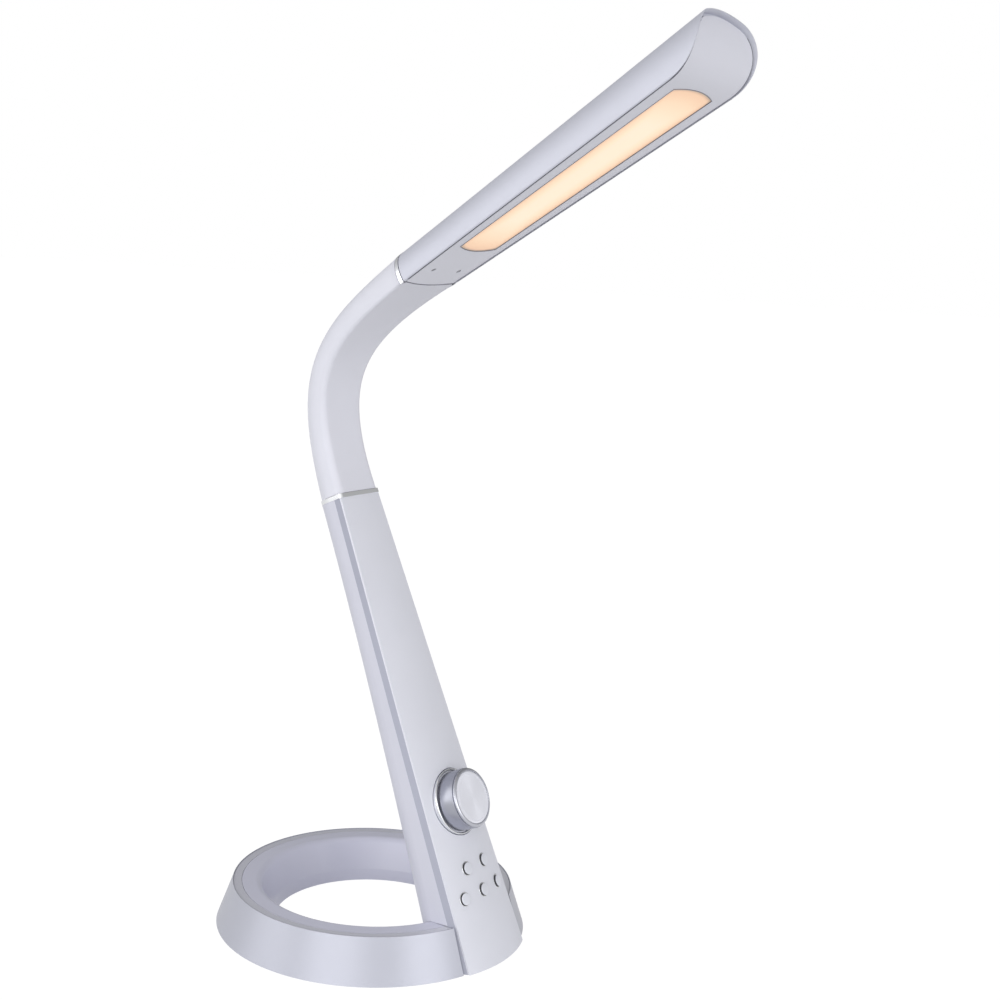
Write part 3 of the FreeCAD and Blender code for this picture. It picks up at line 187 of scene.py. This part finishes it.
def litPanelFinish():
    # warm light that is creamier in the middle of the panel and more orange along its edges
    finish, tree, shader = newFinish("litPanel")
    coords = addNode(tree, "ShaderNodeTexCoord")
    turn = addNode(tree, "ShaderNodeMapping", vector_type="TEXTURE")
    turn.inputs["Location"].default_value = litPanel["middle"]
    turn.inputs["Rotation"].default_value = (radians(-litPanel["tilt"]), 0, 0)
    spot = addNode(tree, "ShaderNodeSeparateXYZ")
    tree.links.new(coords.outputs["Object"], turn.inputs["Vector"])
    tree.links.new(turn.outputs["Vector"], spot.inputs["Vector"])

    def sums(operation, first, second):
        node = addNode(tree, "ShaderNodeMath", operation=operation)
        for socket, value in zip(node.inputs, (first, second)):
            if hasattr(value, "is_linked"):
                tree.links.new(value, socket)
            else:
                socket.default_value = value
        return node.outputs["Value"]

    across = sums("ABSOLUTE", spot.outputs["X"], 0)
    along = sums("MULTIPLY", spot.outputs["Y"], -1)
    share = sums("DIVIDE", along, litPanel["halfLength"])
    widening = (litPanel["farHalf"] - litPanel["nearHalf"]) / 2
    middleHalf = (litPanel["farHalf"] + litPanel["nearHalf"]) / 2
    half = sums("ADD", sums("MULTIPLY", share, widening), middleHalf)
    fromSide = sums("SUBTRACT", half, across)
    bulge = sums("MULTIPLY", sums("POWER", sums("DIVIDE", across, half), 2), litPanel["bow"])
    length = sums("ABSOLUTE", along, 0)
    reach = litPanel["halfLength"] + litPanel["bow"]
    fromEnd = sums("SUBTRACT", reach, sums("ADD", length, bulge))
    nearness = sums("SMOOTH_MIN", fromSide, sums("MULTIPLY", fromEnd, litPanel["endShare"]))
    nearness.node.inputs[2].default_value = litPanel["rounding"]
    glow = addNode(tree, "ShaderNodeValToRGB")
    glow.color_ramp.interpolation = "B_SPLINE"
    stops = glow.color_ramp.elements
    stops[0].color = (*litPanel["edge"], 1)
    stops[1].color = (*litPanel["cream"], 1)
    stops.new(litPanel["warmStop"]).color = (*litPanel["warm"], 1)
    depth = addNode(tree, "ShaderNodeMapRange")
    depth.inputs["From Max"].default_value = litPanel["fade"]
    tree.links.new(nearness, depth.inputs["Value"])
    tree.links.new(depth.outputs["Result"], glow.inputs["Fac"])
    lip = addNode(tree, "ShaderNodeMapRange")
    lip.inputs["From Min"].default_value, lip.inputs["From Max"].default_value = litPanel["lip"]
    lip.inputs["To Min"].default_value = litPanel["lipShade"]
    tree.links.new(nearness, lip.inputs["Value"])
    shaded = addNode(tree, "ShaderNodeVectorMath", operation="SCALE")
    tree.links.new(glow.outputs["Color"], shaded.inputs[0])
    tree.links.new(lip.outputs["Result"], shaded.inputs["Scale"])
    tree.links.new(shaded.outputs["Vector"], shader.inputs["Emission Color"])
    shader.inputs["Base Color"].default_value = (*litPanel["unlit"], 1)
    shader.inputs["Roughness"].default_value = litPanel["rough"]
    shader.inputs["Emission Strength"].default_value = litPanel["light"]
    return finish


finishes["litPanel"] = litPanelFinish()

nodeFinish = {
    "base_shell": "baseSilver", "rim_trim": "landGrey", "base_funnel": "funnelGloss",
    "base_weight": "castIron", "base_plate": "steel", "base_pad": "padRubber",
    "base_screws": "steel", "dc_inlet": "blackPlastic", "front_cover": "coverSilver",
    "mid_frame": "bandGrey", "rear_cover": "rearWhite", "stem_top_trim": "chrome",
    "stem_bracket": "steel", "stem_screws": "steel", "control_board": "boardGreen",
    "tact_switches": "blackPlastic", "encoder": "blackPlastic", "driver_board": "boardGreen",
    "button_bezels": "chrome", "dial_ring": "chrome", "dial_body": "satinMetal",
    "dial_disc": "chrome", "dial_shaft": "steel", "head_shell": "headSilver",
    "head_underside": "underWhite", "diffuser": "litPanel", "light_guide": "guideClear",
    "reflector_sheet": "guideClear", "led_strips": "boardGreen", "heat_spreader": "satinMetal",
    "head_ferrule": "satinMetal", "head_screws": "screwDark", "joint_trim": "jointSilver",
}
for number in range(1, 6):
    nodeFinish[f"button_{number}"] = "capMetal"
for number in range(1, 9):
    nodeFinish[f"gooseneck_{number}"] = "steel"
    nodeFinish[f"neck_sleeve_{number}"] = "sleeveSilicone"

landFade = {
    "across": 0.35,         # the land grows pale where -Y plus this share of X is large (m)
    "start": 0.046, "end": 0.062,
    "pale": (0.70, 0.705, 0.77),
}


def fadeLand():
    # the land of the base's rim grows as pale as the foot of the stem that it runs into
    tree = finishes["landGrey"].node_tree
    shader = tree.nodes["Principled BSDF"]
    grey = shader.inputs["Base Color"].links[0].from_socket
    towards = addNode(tree, "ShaderNodeVectorMath", operation="DOT_PRODUCT")
    towards.inputs[1].default_value = (landFade["across"], -1, 0)
    tree.links.new(objectPlace(tree), towards.inputs[0])
    fade = addNode(tree, "ShaderNodeMapRange", interpolation_type="SMOOTHSTEP")
    fade.inputs["From Min"].default_value = landFade["start"]
    fade.inputs["From Max"].default_value = landFade["end"]
    tree.links.new(towards.outputs["Value"], fade.inputs["Value"])
    blend = addNode(tree, "ShaderNodeMix", data_type="RGBA")
    blend.inputs["B"].default_value = (*landFade["pale"], 1)
    tree.links.new(fade.outputs["Result"], blend.inputs["Factor"])
    tree.links.new(grey, blend.inputs["A"])
    tree.links.new(blend.outputs["Result"], shader.inputs["Base Color"])


fadeLand()
for node, finishName in nodeFinish.items():
    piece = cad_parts[node]
    piece.data.materials.clear()
    piece.data.materials.append(finishes[finishName])
print("finishes assigned:", len(nodeFinish), "CAD pieces")


def addPiece(name, mesh, finishList):
    for finish in finishList:
        mesh.materials.append(finish)
    piece = bpy.data.objects.new(name, mesh)
    bpy.context.scene.collection.objects.link(piece)
    return piece


def pieceFrom(form, name, finishList):
    mesh = bpy.data.meshes.new(name)
    form.to_mesh(mesh)
    form.free()
    return addPiece(name, mesh, finishList)


neckSleeve = {
    "stemFront": 87.65,     # front face of the stem on the table, before the ring's centre (mm)
    "lean": 24.35,
    "foot": 262.2,          # along the stem, on top of its bright ring
    "firstPull": 63.3, "lastPull": 66.1,
    "jointBack": 18.85, "jointHeight": 352.7,
    "headTilt": 33.5,
    "footHalf": 17.75, "footDepth": 21.7, "headHalf": 24.55, "headDepth": 19.5,
    "slim": 3.45, "thin": 1.7,          # how much narrower and thinner its waist is
    "footArch": 0.67, "archGrowth": 0.26,       # height of the rounded back, share of the depth
    "footCorner": 0.46, "cornerGrowth": 0.39,   # radius of its shoulders, share of the depth
    "footEdge": 4.0, "edgeLoss": 3.0,           # radius of the front's edges
    "frontSteps": 12, "edgeSteps": 4, "cornerSteps": 14, "backSteps": 8,
    "hinges": [17.0 + 16.6 * i for i in range(7)],
    "bodies": ["stand"] + [f"neck_{i}" for i in range(1, 7)] + ["head"],
    "bend": 7.6,            # half the length round a hinge
    "start": 0.2, "step": 1.0,
    "lastRun": 6.0, "lastRows": 5,      # over this length the rows take the head's outline
    "trimGap": 2.9,         # the sleeve's rounded side ends this far before the head
    "coverCurve": 102.8,    # and its flat side on this arc, round the near end of the head's cover
    "coverCentre": 99.75,
    "coverHalf": 23.2, "flat": 0.2,
}
leanTurn = radians(neckSleeve["lean"])
tiltTurn = radians(neckSleeve["headTilt"])


def stemSpot(across, depth, up):
    back = -neckSleeve["stemFront"] + up * sin(leanTurn) + depth * cos(leanTurn)
    return Vector((across, back, up * cos(leanTurn) - depth * sin(leanTurn)))


leanWay = Vector((0, sin(leanTurn), cos(leanTurn)))
headWay = Vector((0, -cos(tiltTurn), sin(tiltTurn)))
headUp = Vector((0, sin(tiltTurn), cos(tiltTurn)))
neckFoot = stemSpot(0, 0, neckSleeve["foot"])
headJoint = Vector((0, -neckSleeve["jointBack"], neckSleeve["jointHeight"]))
neckPulls = (
    neckFoot,
    neckFoot + leanWay * neckSleeve["firstPull"],
    headJoint - headWay * neckSleeve["lastPull"],
    headJoint,
)


def neckLine(share):
    a, b, c, d = neckPulls
    rest = 1 - share
    spot = a * rest**3 + b * (3 * share * rest**2) + c * (3 * share**2 * rest) + d * share**3
    way = (b - a) * rest**2 + (c - b) * (2 * share * rest) + (d - c) * share**2
    return spot, way.normalized()


neckSteps = 400
neckLengths = [0.0]
for i in range(neckSteps):
    stretch = neckLine((i + 1) / neckSteps)[0] - neckLine(i / neckSteps)[0]
    neckLengths.append(neckLengths[-1] + stretch.length)
neckLength = neckLengths[-1]


def neckPlace(length):
    # a spot on the neck's front line, the way along it and the way to its back
    if length >= neckLength:
        return headJoint + headWay * (length - neckLength), headWay, headUp
    i = max(0, min(neckSteps - 1, bisect_right(neckLengths, length) - 1))
    share = (i + (length - neckLengths[i]) / (neckLengths[i + 1] - neckLengths[i])) / neckSteps
    spot, way = neckLine(share)
    return spot, way, way.cross(Vector((1, 0, 0)))


def arc(x, y, radius, first, last, steps):
    turns = [first + (last - first) * i / steps for i in range(steps + 1)]
    return [(x + radius * cos(turn), y + radius * sin(turn)) for turn in turns]


def roundedBack(half, depth, arch, corner, edge):
    # outline of a section: flat front with small corners, straight sides, rounded back
    shoulder = depth - arch
    crown = ((half - corner) ** 2 + arch**2 - corner**2) / (2 * (arch - corner))
    crownY = depth - crown
    lift = atan2(shoulder - crownY, half - corner)
    frontSteps = neckSleeve["frontSteps"]
    right = [(x / frontSteps * (half - edge), 0.0) for x in range(frontSteps)]
    right += arc(half - edge, edge, edge, -pi / 2, 0, neckSleeve["edgeSteps"])
    right += arc(half - corner, shoulder, corner, 0, lift, neckSleeve["cornerSteps"])
    right += arc(0, crownY, crown, lift, pi / 2, neckSleeve["backSteps"])[1:]
    left = [(-x, y) for x, y in reversed(right[1:-1])]
    return right + left


def sleeveSection(length):
    share = min(1.0, max(0.0, length / neckLength))
    waist = 4 * share * (1 - share)
    half = neckSleeve["footHalf"] * (1 - share) + neckSleeve["headHalf"] * share
    half -= neckSleeve["slim"] * waist
    depth = neckSleeve["footDepth"] * (1 - share) + neckSleeve["headDepth"] * share
    depth -= neckSleeve["thin"] * waist
    arch = depth * (neckSleeve["footArch"] + neckSleeve["archGrowth"] * share)
    corner = depth * (neckSleeve["footCorner"] + neckSleeve["cornerGrowth"] * share)
    edge = neckSleeve["footEdge"] - neckSleeve["edgeLoss"] * share
    return roundedBack(half, depth, arch, corner, edge)


def sleevePoint(length, across, depth):
    spot, _, back = neckPlace(length)
    return (spot + Vector((across, 0, 0)) + back * depth) * mm


def sleeveEnd(across, depth):
    # how far past the joint the sleeve reaches at this spot of its last section
    if depth < neckSleeve["flat"] and abs(across) < neckSleeve["coverHalf"]:
        return neckSleeve["coverCentre"] - sqrt(neckSleeve["coverCurve"] ** 2 - across**2)
    return -neckSleeve["trimGap"]


def sleeveRing(ring, length):
    for vert, (across, depth) in zip(ring, sleeveSection(length)):
        vert.co = sleevePoint(length, across, depth)


def extrudeRing(form, ring):
    pairs = zip(ring, ring[1:] + ring[:1])
    edges = [form.edges.get(pair) for pair in pairs]
    made = bmesh.ops.extrude_edge_only(form, edges=edges)["geom"]
    fresh = {e for e in made if isinstance(e, bmesh.types.BMVert)}
    grown = []
    for vert in ring:
        others = (edge.other_vert(vert) for edge in vert.link_edges)
        grown.append(next(other for other in others if other in fresh))
    return grown


def closeEnd(form, ring):
    face = bmesh.ops.contextual_create(form, geom=ring)["faces"][0]
    for edge in face.edges:
        edge.smooth = False
    face.smooth = False


def buildSleevePiece(number, start, end, nodes):
    form = bmesh.new()
    count = len(sleeveSection(start))
    ring = list(bmesh.ops.create_circle(form, segments=count, radius=0.01)["verts"])
    isLast = end >= neckLength
    stop = neckLength - neckSleeve["lastRun"] if isLast else end
    rows = max(2, round((stop - start) / neckSleeve["step"]))
    sleeveRing(ring, start)
    closeEnd(form, ring)
    for row in range(1, rows + 1):
        ring = extrudeRing(form, ring)
        sleeveRing(ring, start + (stop - start) * row / rows)
    if isLast:
        for row in range(1, neckSleeve["lastRows"] + 1):
            share = row / neckSleeve["lastRows"]
            ring = extrudeRing(form, ring)
            outline = sleeveSection(stop + neckSleeve["lastRun"] * share)
            for vert, (across, depth) in zip(ring, outline):
                reach = neckLength + sleeveEnd(across, depth)
                vert.co = sleevePoint(stop + (reach - stop) * share, across, depth)
    closeEnd(form, ring)
    bmesh.ops.recalc_face_normals(form, faces=form.faces)
    for face in form.faces:
        if len(face.verts) == 4:
            face.smooth = True
    piece = pieceFrom(form, f"neckSleeve{number}", [finishes["sleeveSilicone"]])
    hinge = neckSleeve["hinges"][number - 1]
    middle = max(y for _, y in sleeveSection(hinge)) / 2
    low = sleevePoint(hinge - neckSleeve["bend"], 0, middle)
    high = sleevePoint(hinge + neckSleeve["bend"], 0, middle)
    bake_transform(piece)
    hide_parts(*nodes)


hinges = neckSleeve["hinges"]
cuts = [neckSleeve["start"]] + [(a + b) / 2 for a, b in zip(hinges, hinges[1:])]
cuts.append(neckLength + 1)     # past the end, where the last piece takes the head's outline
for number in range(1, 8):
    nodes = [f"neck_sleeve_{number}"] + (["neck_sleeve_8"] if number == 7 else [])
    buildSleevePiece(
        number, cuts[number - 1], cuts[number],
        nodes,
    )
print("neck sleeve built")


dial = {
    "up": 87.6,             # along the stem (mm)
    "steps": 160,
    "mapScale": 50,         # radius in the spun map, per metre
    "ring": [               # radius and height over the stem's face
        (16.85, -2.1), (16.85, 0.1), (16.92, 0.35), (17.08, 0.5), (17.25, 0.55), (17.45, 0.5),
        (17.62, 0.32), (17.7, 0.05), (17.7, -2.1), (16.85, -2.1),
    ],
    "side": [
        (5.6, 10.6), (5.6, 1.2), (13.9, 1.2), (13.9, 0.4), (15.75, 0.4), (15.95, 0.55),
        (16.0, 0.8), (16.0, 9.6), (15.95, 9.75), (15.8, 9.8), (15.5, 9.85), (15.35, 9.95),
    ],
    "rim": [
        (15.35, 9.95), (15.35, 10.1), (15.5, 10.18), (15.66, 10.25), (15.72, 10.42),
        (15.66, 10.7), (15.5, 10.95), (15.25, 11.15), (14.95, 11.32), (14.6, 11.43),
        (14.3, 11.46), (14.15, 11.42), (14.08, 11.3), (14.08, 10.6), (5.6, 10.6),
    ],
    "disc": [
        (0.0, 11.45), (3.0, 11.44), (6.0, 11.43), (9.0, 11.41), (12.1, 11.38), (12.2, 11.26),
        (12.45, 11.26), (12.55, 11.38), (13.55, 11.36), (13.8, 11.27), (13.92, 11.1),
        (13.92, 10.6), (0.0, 10.6),
    ],
}
sharpTurn = 0.6             # edges that turn more than this stay sharp (radians)


def stemFrame(across, depth, up, tilt=0.0):
    # a place on the stem's face whose Z axis points straight out of it
    turn = Matrix.Rotation(-leanTurn, 4, "X") @ Matrix.Rotation(radians(tilt), 4, "Z")
    upright = Matrix.Rotation(pi / 2, 4, "X")
    return Matrix.Translation(stemSpot(across, depth, up) * mm) @ turn @ upright


def spinProfile(form, profile, steps):
    verts = [form.verts.new((r * mm, 0, up * mm)) for r, up in profile]
    edges = [form.edges.new(pair) for pair in zip(verts, verts[1:])]
    bmesh.ops.spin(
        form, geom=verts + edges, cent=(0, 0, 0), axis=(0, 0, 1), dvec=(0, 0, 0),
        angle=2 * pi, steps=steps, use_merge=True,
    )


def finishForm(form, name, place, finishList):
    bmesh.ops.remove_doubles(form, verts=form.verts, dist=weld)
    bmesh.ops.recalc_face_normals(form, faces=form.faces)
    for face in form.faces:
        face.smooth = True
    for edge in form.edges:
        if len(edge.link_faces) == 2 and edge.calc_face_angle() > sharpTurn:
            edge.smooth = False
    form.transform(place)
    return pieceFrom(form, name, finishList)


def addSpunMap(form):
    # turn round the middle and distance from it, for metal that is spun on a lathe
    around = form.loops.layers.uv.new("spun")
    for face in form.faces:
        middle = face.calc_center_median()
        centreTurn = atan2(middle.y, middle.x)
        for loop in face.loops:
            spot = loop.vert.co
            radius = spot.to_2d().length
            turn = centreTurn
            if radius > weld:
                turn += (atan2(spot.y, spot.x) - centreTurn + pi) % (2 * pi) - pi
            loop[around].uv = (turn / (2 * pi), radius * dial["mapScale"])


def spunFinish(name, colour, metallic, rough, aniso):
    finish, tree, shader = newFinish(name)
    shader.inputs["Base Color"].default_value = (*colour, 1)
    shader.inputs["Metallic"].default_value = metallic
    shader.inputs["Anisotropic"].default_value = aniso
    addRoughnessRange(tree, shader, rough, *surface["spunGloss"])
    tangent = addNode(tree, "ShaderNodeTangent", direction_type="UV_MAP")
    tangent.uv_map = "spun"
    tree.links.new(tangent.outputs["Tangent"], shader.inputs["Tangent"])
    return finish


def buildDial():
    place = stemFrame(0, 0, dial["up"])
    sideFinish = spunFinish("dialSide", (0.43, 0.44, 0.50), 1.0, 0.3, 0.4)
    rimFinish = metalFinish("dialRim", (0.58, 0.59, 0.65), 0.28)
    discFinish = spunFinish("spunDisc", (0.87, 0.88, 0.955), 0.36, 0.38, 0.85)
    for name, node, body, slot, parts, finishList in (
        ("dialRing", "dial_ring", "stand", "bright_trim", ["ring"], [finishes["chrome"]]),
        ("dialBody", "dial_body", "dial", "satin_metal", ["rim", "side"], [sideFinish, rimFinish]),
        ("dialFace", "dial_disc", "dial", "spun_metal", ["disc"], [discFinish]),
    ):
        form = bmesh.new()
        for part in parts:
            spinProfile(form, dial[part], dial["steps"])
            if part == "rim":
                for face in form.faces:
                    face.material_index = 1
        addSpunMap(form)
        piece = finishForm(form, name, place, finishList)
        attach(piece, body)
        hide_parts(node)


buildDial()
print("dial built")


buttons = {
    "spots": [              # across and up the stem, depth of its bowed face there, tilt (degrees)
        (-8.0, 53.0, 0.383, -5.488), (8.0, 53.0, 0.383, 5.488), (-16.0, 39.0, 1.557, -11.112),
        (0.0, 39.0, 0.0, 0.0), (16.0, 39.0, 1.557, 11.112),
    ],
    "steps": 64,
    "collar": [             # radius and height over the stem's face
        (3.25, -0.33), (3.25, -0.02), (3.3, 0.07), (3.45, 0.12), (3.65, 0.09), (3.77, 0.0),
        (3.8, -0.33), (3.25, -0.33),
    ],
    "skirt": [(0.0, -2.2), (3.0, -2.2), (3.1, -2.0), (3.1, 1.0)],
    "cap": [(3.1, 1.0), (3.08, 1.1), (3.0, 1.17), (2.85, 1.2), (1.6, 1.24), (0.0, 1.26)],
}


def buildButtons():
    # metal caps whose near-black sides are painted shade and painted dark reflection of the gap
    # round each cap, and one bright collar round each
    # near-black colour of the caps' sides: painted shade of the gap round each cap
    skirtShadeFinish = plasticFinish("buttonSkirtShade", (0.05, 0.05, 0.06), 0.3)
    collars = bmesh.new()
    for number, (across, up, depth, tilt) in enumerate(buttons["spots"], start=1):
        place = stemFrame(across, depth, up, tilt)
        form = bmesh.new()
        spinProfile(form, buttons["skirt"], buttons["steps"])
        for face in form.faces:
            face.material_index = 1
        spinProfile(form, buttons["cap"], buttons["steps"])
        piece = finishForm(form, f"buttonCap{number}", place, [finishes["capMetal"], skirtShadeFinish])
        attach(piece, f"button_{number}")
        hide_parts(f"button_{number}")
        collar = bmesh.new()
        spinProfile(collar, buttons["collar"], buttons["steps"])
        collar.transform(place)
        spare = bpy.data.meshes.new("spareCollar")
        collar.to_mesh(spare)
        collar.free()
        collars.from_mesh(spare)
        bpy.data.meshes.remove(spare)
    piece = finishForm(collars, "buttonCollars", Matrix(), [finishes["chrome"]])
    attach(piece, "stand")
    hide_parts("button_bezels")


buildButtons()
print("buttons built")


headSeam = {
    "half": 0.00025,        # half its width (m)
    "weld": 2e-6,
    "sharp": 0.5,           # it follows the underside's edges that turn more than this (radians)
    "facing": 0.3,          # and that have a face that looks down at least this much
    "shortest": 0.1,        # the screws' holes have shorter edges than this (m)
}


def edgePlace(edge):
    return tuple(edge.verts[0].co + edge.verts[1].co)


def edgeRuns(form):
    # runs of sharp edges round the visible face of the head's underside, as ordered points;
    # sorted by place, so that each run of this script gives the same joint line
    edges = []
    for edge in form.edges:
        if len(edge.link_faces) == 2 and edge.calc_face_angle() > headSeam["sharp"]:
            if max(face.normal.dot(-headUp) for face in edge.link_faces) > headSeam["facing"]:
                edges.append(edge)
    edges.sort(key=edgePlace)
    runs = []
    while edges:
        run = sorted(edges.pop(0).verts, key=lambda vert: tuple(vert.co))
        for grow in (1, 0):
            while True:
                tip = run[-1] if grow else run[0]
                following = next((e for e in edges if tip in e.verts), None)
                if following is None:
                    break
                edges.remove(following)
                run.insert(len(run) if grow else 0, following.other_vert(tip))
        runs.append([vert.co.copy() for vert in run])
    return runs


def buildHeadSeam():
    # a thin dark tube along the joint round the underside of the head and round the lit panel:
    # painted shade of the narrow gap between the parts
    form = bmesh.new()
    form.from_mesh(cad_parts["head_underside"].data)
    bmesh.ops.remove_doubles(form, verts=form.verts, dist=headSeam["weld"])
    line = bpy.data.curves.new("headSeamLine", "CURVE")
    line.dimensions = "3D"
    line.bevel_depth = headSeam["half"]
    line.bevel_resolution = 2
    for run in edgeRuns(form):
        length = sum((b - a).length for a, b in zip(run, run[1:]))
        if length < headSeam["shortest"]:
            continue
        closed = (run[0] - run[-1]).length < weld
        spots = run[:-1] if closed else run
        spline = line.splines.new("POLY")
        spline.points.add(len(spots) - 1)
        for point, spot in zip(spline.points, spots):
            point.co = (*spot, 1)
        spline.use_cyclic_u = closed
    form.free()
    curve = bpy.data.objects.new("headSeamLine", line)
    mesh = bpy.data.meshes.new_from_object(curve)
    bpy.data.objects.remove(curve)
    mesh.name = "headSeam"
    for polygon in mesh.polygons:
        polygon.use_smooth = True
    mesh.materials.clear()
    # the tube's dark colour is painted shade of the joint's gap
    piece = addPiece("headSeam", mesh, [plasticFinish("seamShade", (0.20, 0.20, 0.24), 0.5)])
    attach(piece, "head")


buildHeadSeam()
print("head seam built")


studio = {
    "floorHalf": 30.0,
    "floorTone": 0.8, "floorRough": 0.9, "floorShine": 0.1,
    "whiteShare": 0.88,     # how much of the floor's white is its own, and not the light on it
    "mirrorShare": 0.5,     # the same in reflections
    "whiteLevel": 1.1,
    "roomLight": 1.56,      # light from the room's brightest side
    "darkLight": 0.3,       # and from its darkest
    "darkSide": (0.68, 0.2, 0.7),
    "roomReach": 0.9,       # how far towards each side the room's light still changes
}


def buildFloor():
    finish, tree, shader = newFinish("floorPaper")
    tone = studio["floorTone"]
    shader.inputs["Base Color"].default_value = (tone, tone, tone, 1)
    shader.inputs["Roughness"].default_value = studio["floorRough"]
    shader.inputs["Specular IOR Level"].default_value = studio["floorShine"]
    white = addNode(tree, "ShaderNodeEmission")
    white.inputs["Strength"].default_value = studio["whiteLevel"]
    rays = addNode(tree, "ShaderNodeLightPath")
    mirrored = addNode(tree, "ShaderNodeMath", operation="MAXIMUM")
    tree.links.new(rays.outputs["Is Glossy Ray"], mirrored.inputs[0])
    tree.links.new(rays.outputs["Is Transmission Ray"], mirrored.inputs[1])
    share = addNode(tree, "ShaderNodeMath", operation="MULTIPLY")
    share.inputs[1].default_value = studio["mirrorShare"]
    tree.links.new(mirrored.outputs["Value"], share.inputs[0])
    level = addNode(tree, "ShaderNodeMapRange")
    level.inputs["To Max"].default_value = studio["whiteShare"]
    tree.links.new(rays.outputs["Is Camera Ray"], level.inputs["Value"])
    tree.links.new(share.outputs["Value"], level.inputs["To Min"])
    blend = addNode(tree, "ShaderNodeMixShader")
    tree.links.new(level.outputs["Result"], blend.inputs["Fac"])
    tree.links.new(shader.outputs["BSDF"], blend.inputs[1])
    tree.links.new(white.outputs["Emission"], blend.inputs[2])
    tree.links.new(blend.outputs["Shader"], tree.nodes["Material Output"].inputs["Surface"])
    form = bmesh.new()
    bmesh.ops.create_grid(form, x_segments=1, y_segments=1, size=studio["floorHalf"])
    floor = pieceFrom(form, "studioFloor", [finish])


def buildWorld():
    # white to the camera, and to the lamp a pale room that is darker above and to its right
    world = bpy.data.worlds.new("studioWorld")
    bpy.context.scene.world = world
    world.use_nodes = True
    tree = world.node_tree
    back = tree.nodes["Background"]
    back.inputs["Color"].default_value = (1, 1, 1, 1)
    around = addNode(tree, "ShaderNodeTexCoord")
    towards = addNode(tree, "ShaderNodeVectorMath", operation="DOT_PRODUCT")
    towards.inputs[1].default_value = Vector(studio["darkSide"]).normalized()
    room = addNode(tree, "ShaderNodeMapRange")
    room.inputs["From Min"].default_value = -studio["roomReach"]
    room.inputs["From Max"].default_value = studio["roomReach"]
    room.inputs["To Min"].default_value = studio["roomLight"]
    room.inputs["To Max"].default_value = studio["darkLight"]
    rays = addNode(tree, "ShaderNodeLightPath")
    level = addNode(tree, "ShaderNodeMapRange")
    tree.links.new(around.outputs["Generated"], towards.inputs[0])
    tree.links.new(towards.outputs["Value"], room.inputs["Value"])
    tree.links.new(rays.outputs["Is Camera Ray"], level.inputs["Value"])
    tree.links.new(room.outputs["Result"], level.inputs["To Min"])
    tree.links.new(level.outputs["Result"], back.inputs["Strength"])


def addSoftbox(name, place, size, power):
    light = bpy.data.lights.new(name, "AREA")
    light.shape = "RECTANGLE"
    light.size, light.size_y = size
    light.energy = power
    box = bpy.data.objects.new(name, light)
    box.location = place
    target = Vector(softboxTarget)
    box.rotation_euler = (target - Vector(place)).to_track_quat("-Z", "Y").to_euler()
    bpy.context.scene.collection.objects.link(box)


softboxTarget = (0, 0, 0.2)
softboxes = {
    "frontBox": dict(place=(-0.4, -1.9, 0.55), size=(1.2, 1.3), power=7),
    "keyBox": dict(place=(-1.85, -0.3, 0.6), size=(1.3, 1.3), power=5),
    "leftBox": dict(place=(-1.1, 1.1, 0.5), size=(1.0, 1.2), power=2.8),
}

cameraSetup = {
    "place": (-0.672565, -0.464463, 0.360232),
    "turn": (81.5657, -3.2481, -59.0004),
    "lens": 55.4086, "sensor": 36,
    "nearest": 0.02,
}


def buildCamera():
    lens = bpy.data.cameras.new("lampCamera")
    lens.lens = cameraSetup["lens"]
    lens.sensor_width = cameraSetup["sensor"]
    lens.clip_start = cameraSetup["nearest"]
    camera = bpy.data.objects.new("lampCamera", lens)
    camera.location = cameraSetup["place"]
    camera.rotation_euler = [radians(v) for v in cameraSetup["turn"]]
    bpy.context.scene.collection.objects.link(camera)
    bpy.context.scene.camera = camera


buildFloor()
buildWorld()
for boxName, settings in softboxes.items():
    addSoftbox(boxName, **settings)
buildCamera()
bpy.context.scene.view_settings.view_transform = "Standard"
print("studio ready")
